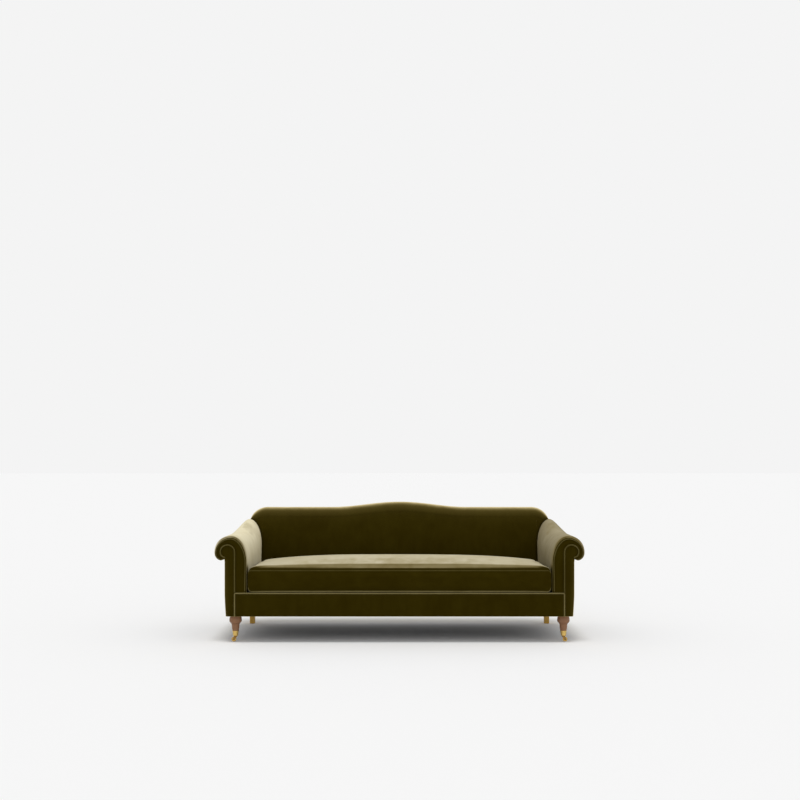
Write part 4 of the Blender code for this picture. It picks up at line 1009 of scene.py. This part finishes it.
def cushionOutline(height, corner):
    # Half an edge of the cushion's front, of (x, z): out from the middle at the height, round the
    # corner and up or down the end to the middle of the height.
    halfWidth = arm["rearInnerX"] - cushion["clearance"]
    middle = deckLevel + cushion["edgeHeight"] / 2
    turnZ = height + math.copysign(corner, middle - height)
    flat = (halfWidth - corner) * np.sin(np.linspace(0, math.pi / 2, cushion["stations"]))
    arc = quarterArc((halfWidth - corner, height), (halfWidth, turnZ), 9, uprightFirst=False)
    return np.concatenate([np.stack([flat, np.full(len(flat), height)], 1), arc,
                           line((halfWidth, turnZ), (halfWidth, middle), 7)])


def seatCushion():
    # Two sheets, crowned above and flat below, that share the line along each end; the front panel and
    # the rear edge join them. Across, the crown falls with the 3.2nd power of the distance from the
    # middle; front to rear it rises to the crest and falls behind it with the third power.
    topLine = bothSides(cushionOutline(deckLevel + cushion["edgeHeight"], cushion["topCorner"]))
    bottomLine = bothSides(cushionOutline(deckLevel, cushion["bottomCorner"]))
    halfWidth, floor = topLine[:, 0].max(), bottomLine[:, 1].min()
    front = sofa["frontY"] + cushion["setback"]
    rear = sofa["frontY"] + back["seatDepth"] - cushion["clearance"]
    step = front + 2 * sofa["piping"] - 0.001
    shoulder = halfWidth - cushion["topCorner"]
    broad = 1 - np.clip(np.abs(topLine[:, :1]) / shoulder, 0, 1) ** cushion["crownPower"]
    even = np.linspace(0, 1, cushion["depthSteps"])
    share = mix(even, eased(even), 0.6)
    crest = cushion["crest"]
    rising = 0.4 * (1 - (1 - share / crest) ** 2) + 0.6 * smooth(0, crest, share)
    depth = np.where(share < crest, rising, 1 - (np.maximum(share - crest, 0) / (1 - crest)) ** 3)
    drawn = 1 - cushion["drawIn"] / halfWidth * np.sin(math.pi * share)

    def sheet(lineOf, lift):
        # Places of (x, y, z), across and to the rear, where both sheets close in a rounded edge.
        y = mix(step, rear, share)
        close = np.clip((y - rear + cushion["rearCorner"]) / cushion["rearCorner"], 0, 1)
        middle = (topLine[0, 1] + bottomLine[0, 1]) / 2
        closing = cushion["rearShare"] + (1 - cushion["rearShare"]) * np.sqrt(1 - close ** 2)
        return grid(lineOf[:, :1] * drawn, y, middle + (lineOf[:, 1:] + lift - middle) * closing)

    behind = (rear - step) * share
    inEnd = np.clip((halfWidth - np.abs(topLine[:, :1])) / cushion["topCorner"], 0, 1)
    lip = cushion["lip"] * settled(behind, cushion["lipRun"]) * (1 - share ** 6)
    upper = sheet(topLine, cushion["crown"] * broad * depth + lip * np.sqrt(1 - (1 - inEnd) ** 2))
    lower = sheet(bottomLine, cushion["footLift"] * np.exp(-behind / cushion["footRun"]))
    # Soft marks on the seat: where it was sat on and smoothed
    xs, ys = upper[..., 0], upper[..., 1]
    calm = smooth(0.06, 0.26, ys - step) * smooth(0.0, 0.08, rear - ys) * broad
    upper[..., 2] += cushion["drag"] * calm * (ripple(xs, ys, 81, 7, 4.0, 14.0)
                                               + 0.35 * ripple(xs, ys * 1.4, 82, 7, 14.0, 40.0))
    # Front panel: inside the piping, domed; it joins the lower edge of one sheet to the upper of the other
    s = eased(np.linspace(0, 1, cushion["panelSteps"])[1:-1])
    zPanel = mix(lower[:, :1, 2], upper[:, :1, 2], s)
    xPanel = topLine[:, :1]
    fromEnd = np.clip((halfWidth - np.abs(xPanel)) / 0.03, 0, 1)
    dome = cushion["panelDome"] * np.sin(math.pi * s) ** 0.55 * np.sqrt(1 - (1 - fromEnd) ** 2)
    wave = cushion["panelWave"] * ripple(xPanel, zPanel, 83, 8, 6.0, 30.0) * np.sin(math.pi * s) * fromEnd
    panel = grid(xPanel, front + cushion["panelSetback"] - dome + wave, zPanel)
    loop = np.concatenate([panel, upper, lower[:, ::-1]], 1)
    # Paler along the roll; painted shade darkens the lip just above the piping
    rolled = spot(ys, step + cushion["rollAt"], cushion["rollWidth"])
    turned = cushion["lipPaintedShade"] * np.exp(-behind / cushion["lipPaintedShadeRun"])
    wearAndPaintedLight = np.concatenate([0 * zPanel, rolled - turned, 0 * lower[..., 0]], 1)
    piece = loopSkin("seat_cushion_cover", loop, velvets["across"], capEnds=False, wearAndPaintedLight=wearAndPaintedLight)

    # The front panel's edge, the sheet that lies on the deck and the rear edge are held
    px, py, pz = pointsOf(piece.data).T
    nearEdge = np.minimum(halfWidth - np.abs(px), np.abs(pz - floor - cushion["edgeHeight"]))
    held = ((py < step + 0.003) & (nearEdge < 0.012)) | (pz < floor + 0.010) | (py > rear - 0.002)
    low = (-halfWidth, front - cushion["panelDome"] - cushion["panelCap"], floor)
    high = (halfWidth, rear, upper[..., 2].max() + cushion["cap"])
    puffed(piece, held, cushion["cap"], low, high)
    standFor(piece, "seat_cushion_body", "velvet", "seat_cushion", fill=0.9)


def cushionPiping():
    # One closed loop of piping round the front panel, with painted shade along its upper run and painted
    # light along its lower run.
    radius = sofa["piping"]
    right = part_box("cushion_piping")[1][0] - radius
    low = deckLevel + cushion["footLift"] + 0.4 * radius
    high = deckLevel + cushion["edgeHeight"] + 0.1 * radius
    top, foot = cushion["topCorner"], cushion["bottomCorner"]
    half = np.concatenate([
        [(0.0, high)], line((0, high), (right - top, high), 60),
        quarterArc((right - top, high), (right, high - top), 10, uprightFirst=False),
        line((right, high - top), (right, low + foot), 10),
        quarterArc((right, low + foot), (right - foot, low), 10),
        line((right - foot, low), (0, low), 60)])
    outline = np.concatenate([half, half[-2::-1] * (-1, 1)])
    path = seamPath(outline, sofa["frontY"] + cushion["setback"] + radius)[:-1]
    path[:, 2] += cushion["pipingWave"] * ripple(path[:, 0], path[:, 2], 91, 8, 8.0, 40.0)
    paintedLightLowerRun = smooth(high - 0.02, low + 0.05, path[:, 2])
    piece = tubePiece("cushion_piping_cord", path, radius, velvets["armPiping"], closed=True,
                      wearAndPaintedLight=1.5 * paintedLightLowerRun - 0.5)
    standFor(piece, "seat_cushion_body", "piping", "cushion_piping")


frontBorder()
borderPiping()
backPad()
outsideBack()
seatCushion()
cushionPiping()
print("border, back and seat covered")


leg = {"top": 0.034, "bulb": 0.039, "bulbDrop": 0.030, "neck": 0.0252, "neckDrop": 0.0535,
       "ankle": 0.0195, "bead": 0.0278, "core": 0.012, "footHalf": 0.017, "topHalf": 0.019,
       "footEase": (0.0022, 0.0008), "topEase": 0.001, "rearCorner": 0.0030,
       "straight": 0.7072, "chamfer": 0.293}


def frontLeg(label):
    # Turned leg: an outline of radius and height spun about the upright axis. The bulb is a half round
    # that swells from the top and turns in under itself, then a bead, a cove and a tapered shaft.
    top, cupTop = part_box("front_leg_" + label)[1][2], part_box("castor_cup_" + label)[1][2]
    bulbZ, neckZ = top - leg["bulbDrop"], top - leg["neckDrop"]
    outline = np.concatenate([
        [(leg["top"] - 0.002, top), (leg["top"], top - 0.002)],
        cubic((leg["top"], top - 0.002), (leg["top"] + 0.001, top - 0.010), (leg["bulb"], bulbZ + 0.012),
              (leg["bulb"], bulbZ), 14),
        quarterArc((leg["bulb"], bulbZ), (leg["bead"] - 0.0008, neckZ + 0.0045), 14),
        quarterArc((leg["bead"] - 0.0022, neckZ + 0.0040), (leg["bead"], neckZ + 0.0018), 5, False),
        quarterArc((leg["bead"], neckZ + 0.0018), (leg["neck"], neckZ - 0.0010), 5),
        cubic((leg["neck"] - 0.0004, neckZ - 0.0016), (leg["neck"] - 0.0016, neckZ - 0.006),
              (leg["neck"] - 0.0002, neckZ - 0.016), (leg["ankle"] + 0.0004, cupTop + 0.001), 20),
        [(leg["ankle"] - 0.001, cupTop - 0.004), (leg["core"], cupTop - 0.006), (leg["core"], top)]])
    centre = boxCentre("front_leg_" + label) * (1, 1, 0)
    piece = spun("turned_leg_" + label, outline, legTimber, centre, 64)
    standFor(piece, "sofa_frame", "leg_timber", "front_leg_" + label)


def rearLeg(label):
    # Square leg: level rings tapering to the foot, eased at both ends. A ring's points lie on a square
    # and are drawn in near its corners.
    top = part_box("rear_leg_" + label)[1][2]
    centre = boxCentre("rear_leg_" + label)
    height = np.concatenate([[0, 0.0006, 0.002], np.linspace(0.004, top - 0.002, 30), [top]])
    half = mix(leg["footHalf"], leg["topHalf"], height / top)
    half[:2] -= leg["footEase"]
    half[-1] -= leg["topEase"]
    half = half[:, None, None]
    turn = np.linspace(0, 2 * math.pi, 64, endpoint=False) + math.pi / 64
    flat = np.stack([np.cos(turn), np.sin(turn)], 1)
    ring = np.sign(flat) * half * np.minimum(np.abs(flat) / leg["straight"], 1)
    corner = leg["rearCorner"]
    cut = np.clip(np.abs(ring).min(-1, keepdims=True) - (half - corner), 0, corner) / corner
    ring = ring * (1 - leg["chamfer"] * cut ** 2 * corner / half)
    points = grid(ring[..., 0] + centre[0], ring[..., 1] + centre[1], height[:, None])
    piece = loopSkin("square_leg_" + label, points, rearLegTimberPaintedLight)
    standFor(piece, "sofa_frame", "rear_leg_timber", "rear_leg_" + label)


castor = {
    "cupBead": 0.0012, "cupWall": 0.0018, "cupFoot": 0.0160, "cupBore": 0.0036, "ringBead": 0.0011,
    "screw": ((0, 0.0007), (0.0005, 0.0007), (0.0006, 0.0003), (0.0014, 0.0005), (0.0019, 0.0001),
              (0.0019, -0.0008), (0, -0.0008)),      # radius and height over the cup's wall
    "screwAt": 0.66, "screwSteps": 20,
    "strap": 0.0022, "strapBend": 0.004, "plateHalf": 0.0095, "footHalf": 0.0054, "trail": 0.010,
    "wheelHalf": 0.0065, "wheelRadius": 0.015, "axle": 0.0020, "collar": 0.0085, "neck": 0.0030,
}


def castorCup(label):
    # Brass cup spun about the leg's axis: a rolled rim, a tapered wall, a ring above the round foot.
    low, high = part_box("castor_cup_" + label)
    centre = boxCentre("castor_cup_" + label) * (1, 1, 0)
    base, rim = low[2], high[2]
    radius, foot, bead = (high[0] - low[0]) / 2, castor["cupFoot"], castor["cupBead"]
    bore, floor = castor["cupBore"], base + 0.006
    turn = np.linspace(-math.pi / 2, math.pi / 2, 8)
    halfRound = np.stack([np.cos(turn), np.sin(turn)], 1)
    outline = np.concatenate([
        [(bore, base), (foot - 0.0045, base)],
        quarterArc((foot - 0.0045, base), (foot, base + 0.0040), 6, False),
        halfRound * castor["ringBead"] + (foot + 0.0006, base + 0.0058),
        [(foot + 0.0008, base + 0.0074), (radius - 0.0005, rim - 2.2 * bead)],
        halfRound * bead + (radius - 0.0003, rim - bead),
        [(radius - castor["cupWall"], rim), (foot - castor["cupWall"], floor), (bore, floor)]])
    piece = spun("brass_cup_" + label, outline, brass, centre, 56)
    standFor(piece, "sofa_frame", "brass", "castor_cup_" + label)
    # Two countersunk screws, in front and behind, hold the cup to the leg
    across, depth = np.array(castor["screw"]).T
    steps, rows = castor["screwSteps"], len(across)
    turn = np.linspace(0, 2 * math.pi, steps, endpoint=False)[:, None]
    wall, z = mix(foot, radius, castor["screwAt"]), mix(base, rim, castor["screwAt"])
    heads = [grid(centre[0] - out * across * np.cos(turn), centre[1] + out * (wall + depth),
                  z + across * np.sin(turn)) for out in (-1, 1)]
    quads = np.concatenate([gridQuads(steps, rows, closeRows=True, start=steps * rows * i)
                            for i in range(2)])
    screws = meshObject("cup_screws_" + label, np.concatenate(heads), quads, brass)
    standFor(screws, "sofa_frame", "brass")


def castorFork(label, side):
    # One bent strap: its middle line runs up one cheek, over the wheel and down the other; its width is
    # a smooth step from the round ends at the axle to the plate, and its section a rounded bar.
    low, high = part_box("castor_fork_" + label)
    y = (low[1] + high[1]) / 2
    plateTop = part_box("castor_cup_" + label)[0][2] - sofa["gap"]
    half = (high[1] - low[1]) / 2 - castor["strap"] / 2
    foot, radius = castor["wheelRadius"] - castor["footHalf"], castor["strapBend"]
    crown = plateTop - castor["strap"] / 2
    up = np.concatenate([[(-half, foot)], line((-half, foot), (-half, crown - radius), 26),
                         quarterArc((-half, crown - radius), (-half + radius, crown), 8),
                         line((-half + radius, crown), (0, crown), 6)])
    middle = np.concatenate([up, up[-2::-1] * (-1, 1)])
    rise = middle[:, 1:]
    reach = np.clip((rise - foot) / castor["footHalf"], 0, 1)
    halfWidth = castor["footHalf"] * np.sqrt(1 - (1 - reach) ** 2) \
        + (castor["plateHalf"] - castor["footHalf"]) * smooth(foot + 0.006, crown - 0.002, rise)
    lean = castor["trail"] * smooth(castor["wheelRadius"] + 0.001, crown - 0.001, rise)
    run = np.gradient(middle, axis=0)
    run /= np.linalg.norm(run, axis=1, keepdims=True)
    turn = np.linspace(0, 2 * math.pi, 24, endpoint=False)
    c, s = np.cos(turn), np.sin(turn)
    flatX = np.sign(c) * np.abs(c) ** 0.5 * np.maximum(halfWidth, 0.0004)
    off = np.sign(s) * np.abs(s) ** 0.6 * castor["strap"] / 2
    points = grid(boxCentre("castor_axle_" + label)[0] - side * lean + flatX,
                  y + middle[:, :1] - run[:, 1:] * off, rise + run[:, :1] * off)
    # The horn wears the darkest brass copy: painted shade
    piece = loopSkin("castor_horn_" + label, points, brassPaintedDeepShade)
    standFor(piece, "castor_" + label, "brass", "castor_fork_" + label)
    # Neck between the plate and the cup
    collar, pin = castor["collar"], castor["neck"]
    profile = [(0.0, plateTop - 0.0006), (collar, plateTop - 0.0006), (collar, plateTop),
               (pin, plateTop + 0.0002), (pin, plateTop + 0.0055), (0.0, plateTop + 0.0055)]
    centre = (boxCentre("castor_cup_" + label)[0], y, 0)
    neck = spun("castor_neck_" + label, profile, brassPaintedDeepShade, centre, 32)
    standFor(neck, "castor_" + label, "brass")


def castorWheel(label):
    # Wheel and axle, spun about the level axis: a crowned tread, dished faces, a hub; domed rivet heads.
    centre = boxCentre("castor_wheel_" + label) * (1, 1, 0) + (0, 0, castor["wheelRadius"])
    half, radius = castor["wheelHalf"], castor["wheelRadius"]
    face = np.array([(0.0026, -half), (0.0052, -half), (0.0060, -half + 0.0014), (0.0105, -half + 0.0017),
                     (0.0116, -half + 0.0004), (0.0136, -half + 0.0002), (0.0146, -half + 0.0012),
                     (radius, -half + 0.0032), (radius, 0)])
    # The wheel wears a darker brass copy: painted shade
    wheel = spun("castor_wheel_turned_" + label, twoFaced(face), brassPaintedShade, centre, 48, "Y")
    standFor(wheel, "wheel_" + label, "brass", "castor_wheel_" + label)
    low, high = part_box("castor_axle_" + label)
    reach, shaft = (high[1] - low[1]) / 2, castor["axle"]
    rivet = np.array([(0.0, -reach - 0.0012), (0.0012, -reach - 0.0011), (0.0024, -reach - 0.0007),
                      (0.0031, -reach - 0.00005), (shaft, -reach), (shaft, 0)])
    pin = spun("castor_pin_turned_" + label, twoFaced(rivet), steelPaintedShade, centre, 24, "Y")
    standFor(pin, "castor_" + label, "castor_pin", "castor_axle_" + label)


for label, side in sides:
    frontLeg(label)
    rearLeg(label)
    castorCup(label)
    castorFork(label, side)
    castorWheel(label)
print("legs and castors made")


lining = {"sag": 0.0045, "crease": 0.0010, "thickness": 0.0010, "drop": 0.0002, "rows": 110, "columns": 44,
          "notchSide": 0.156, "notchFront": 0.093, "notchRear": 0.058, "notchRound": 0.006,
          "staplePitch": 0.042, "stapleLength": 0.010, "stapleDrop": 0.0008, "wire": 0.0007,
          "inset": 0.008, "askew": 0.12}


def dustLining():
    # Thin lining under the frame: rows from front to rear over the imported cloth's own outline, notched
    # at the legs, sagging as the product of two sines, a closed skin of two sides.
    low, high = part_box("dust_cover")
    u, v = np.linspace(0, 1, lining["rows"])[:, None], np.linspace(0, 1, lining["columns"])
    near, far, ease = low[1] + lining["notchFront"], high[1] - lining["notchRear"], lining["notchRound"]
    y = mix(low[1], high[1], v)
    wide = smooth(near - ease, near + ease, y) * smooth(far + ease, far - ease, y)
    inset = lining["notchSide"] * (1 - wide)
    x = mix(low[0] + inset, high[0] - inset, u)
    sag = lining["sag"] * np.sin(math.pi * u) ** 0.7 * np.sin(math.pi * v) ** 0.7
    crease = lining["crease"] * ripple(x, y, 101, 9, 10.0, 40.0) \
        * np.sin(math.pi * u) ** 0.3 * np.sin(math.pi * v) ** 0.5
    under = grid(x, y, low[2] - lining["drop"] - sag + crease)
    loop = faceAndRear(under, under + (0, 0, lining["thickness"]))
    piece = loopSkin("dust_lining", loop, liningCloth, capEnds=False)
    shape = bmesh.new()
    shape.from_mesh(piece.data)
    bmesh.ops.holes_fill(shape, edges=[edge for edge in shape.edges if edge.is_boundary])
    shape.to_mesh(piece.data)
    shape.free()
    standFor(piece, "sofa_frame", "lining", "dust_cover")


def staples():
    # Wire staples along the edges of the lining, each a small bar of eight corners, turned a little.
    low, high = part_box("dust_cover")
    inset, pitch = lining["inset"], lining["staplePitch"]
    xs = np.arange(low[0] + 0.17, high[0] - 0.16, pitch)
    ys = np.arange(low[1] + 0.12, high[1] - 0.08, pitch)
    places = np.concatenate([grid(xs, low[1] + inset, 0), grid(xs, high[1] - inset, 0),
                             grid(low[0] + inset, ys, 1), grid(high[0] - inset, ys, 1)])
    rng = np.random.default_rng(7)
    turn = (places[:, 2] * math.pi / 2 + rng.normal(0, lining["askew"], len(places)))[:, None]
    corner = np.array([(a, b, c) for c in (-1, 1) for a, b in ((-1, -1), (1, -1), (1, 1), (-1, 1))], float)
    along, aside, up = (corner * (lining["stapleLength"] / 2, lining["wire"], lining["wire"] / 2)).T
    c, s = np.cos(turn), np.sin(turn)
    points = grid(places[:, :1] + along * c - aside * s, places[:, 1:2] + along * s + aside * c,
                  low[2] - lining["stapleDrop"] + up)
    box = np.array([(0, 3, 2, 1), (4, 5, 6, 7), (0, 1, 5, 4), (1, 2, 6, 5), (2, 3, 7, 6), (3, 0, 4, 7)])
    quads = (box + 8 * np.arange(len(places))[:, None, None]).reshape(-1, 4)
    piece = meshObject("lining_staples", points, quads, steel)
    standFor(piece, "sofa_frame", "steel")


dustLining()
staples()
print("underside closed")

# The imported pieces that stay: springs and bolts, hessian, deck cloth, and sawn timber for the rest
keptFinish = {"back_hessian": hessianCloth, "seat_deck": liningCloth}
for name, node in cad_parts.items():
    metal = name.startswith(("seat_spring", "leg_bolt"))
    for slotPlace in node.material_slots:
        slotPlace.material = steel if metal else keptFinish.get(name, frameTimber)
print("packed pieces finished")

# Brightness all round on the sofa and as the camera sees it, and the floor's own colour
studio = {"level": 0.60, "paper": 0.905, "albedo": 0.902, "mottle": 0.997, "floorSize": 300.0}
lamps = {
    "overhead": {"towards": (0.0, -0.16, 1.0), "energy": 1.16, "angle": 16.0},
    "front": {"towards": (0.0, -0.80, 0.60), "energy": 0.22, "angle": 40.0},
    "side": {"towards": (0.85, -0.35, 0.43), "energy": 0.18, "angle": 60.0},
}


def stageAndLight():
    # Pale floor and the same pale colour all round, a soft lamp overhead, and weaker ones from the
    # front and the right.
    half = studio["floorSize"] / 2
    corners = np.array([(-half, -half, 0), (half, -half, 0), (half, half, 0), (-half, half, 0)], float)
    f = newFinish("studio paper")
    pale = (studio["albedo"],) * 3
    paper = f.blend(f.noise(3.0, 2.0), pale, dimmed(pale, studio["mottle"]))
    finish = f.done(f.principled(baseColor=paper, roughness=1.0, specular=0.0))
    meshObject("studio_floor", corners, np.array([[0, 1, 2, 3]]), finish)
    world = bpy.data.worlds.new("studio")
    bpy.context.scene.world = world
    w = Finish(world)
    rays = w.node("LightPath").socket.node
    camera, glossy, through = (Wire(w.tree, rays.outputs[f"Is {kind} Ray"])
                               for kind in ("Camera", "Glossy", "Transmission"))
    strength = mix(studio["level"], studio["paper"], camera.atLeast(glossy).atLeast(through))
    w.done(w.node("Background", values={"Color": (1.0, 1.0, 1.0), "Strength": strength}), "World")
    for name, lamp in lamps.items():
        data = bpy.data.lights.new(name + " lamp", "SUN")
        data.energy = lamp["energy"]
        data.angle = math.radians(lamp["angle"])
        placed = bpy.data.objects.new(name + " lamp", data)
        placed.rotation_euler = Vector(lamp["towards"]).to_track_quat("Z", "Y").to_euler()
        bpy.context.scene.collection.objects.link(placed)


# Lengths in metres; the focal length, the rows and the columns in pixels of the picture
view = {"distance": 6.40, "height": 1.10, "focal": 1029.8, "imageSize": 800, "horizonRow": 466,
        "centreColumn": 399.5}


def photoCamera():
    # A level camera in front of the sofa; the shift puts the horizon on the photograph's row.
    data = bpy.data.cameras.new("view")
    data.sensor_width = 36.0
    data.lens = view["focal"] / view["imageSize"] * data.sensor_width
    data.shift_y = (view["horizonRow"] - view["imageSize"] / 2) / view["imageSize"]
    data.shift_x = (view["imageSize"] / 2 - view["centreColumn"]) / view["imageSize"]
    data.clip_start, data.clip_end = 0.05, 200.0
    camera = bpy.data.objects.new("view", data)
    camera.location = (0, sofa["frontY"] - view["distance"], view["height"])
    camera.rotation_euler = (math.pi / 2, 0, 0)
    bpy.context.scene.collection.objects.link(camera)
    bpy.context.scene.camera = camera


stageAndLight()
photoCamera()
bpy.context.scene.view_settings.view_transform = "Standard"
print("stage, light and camera set")
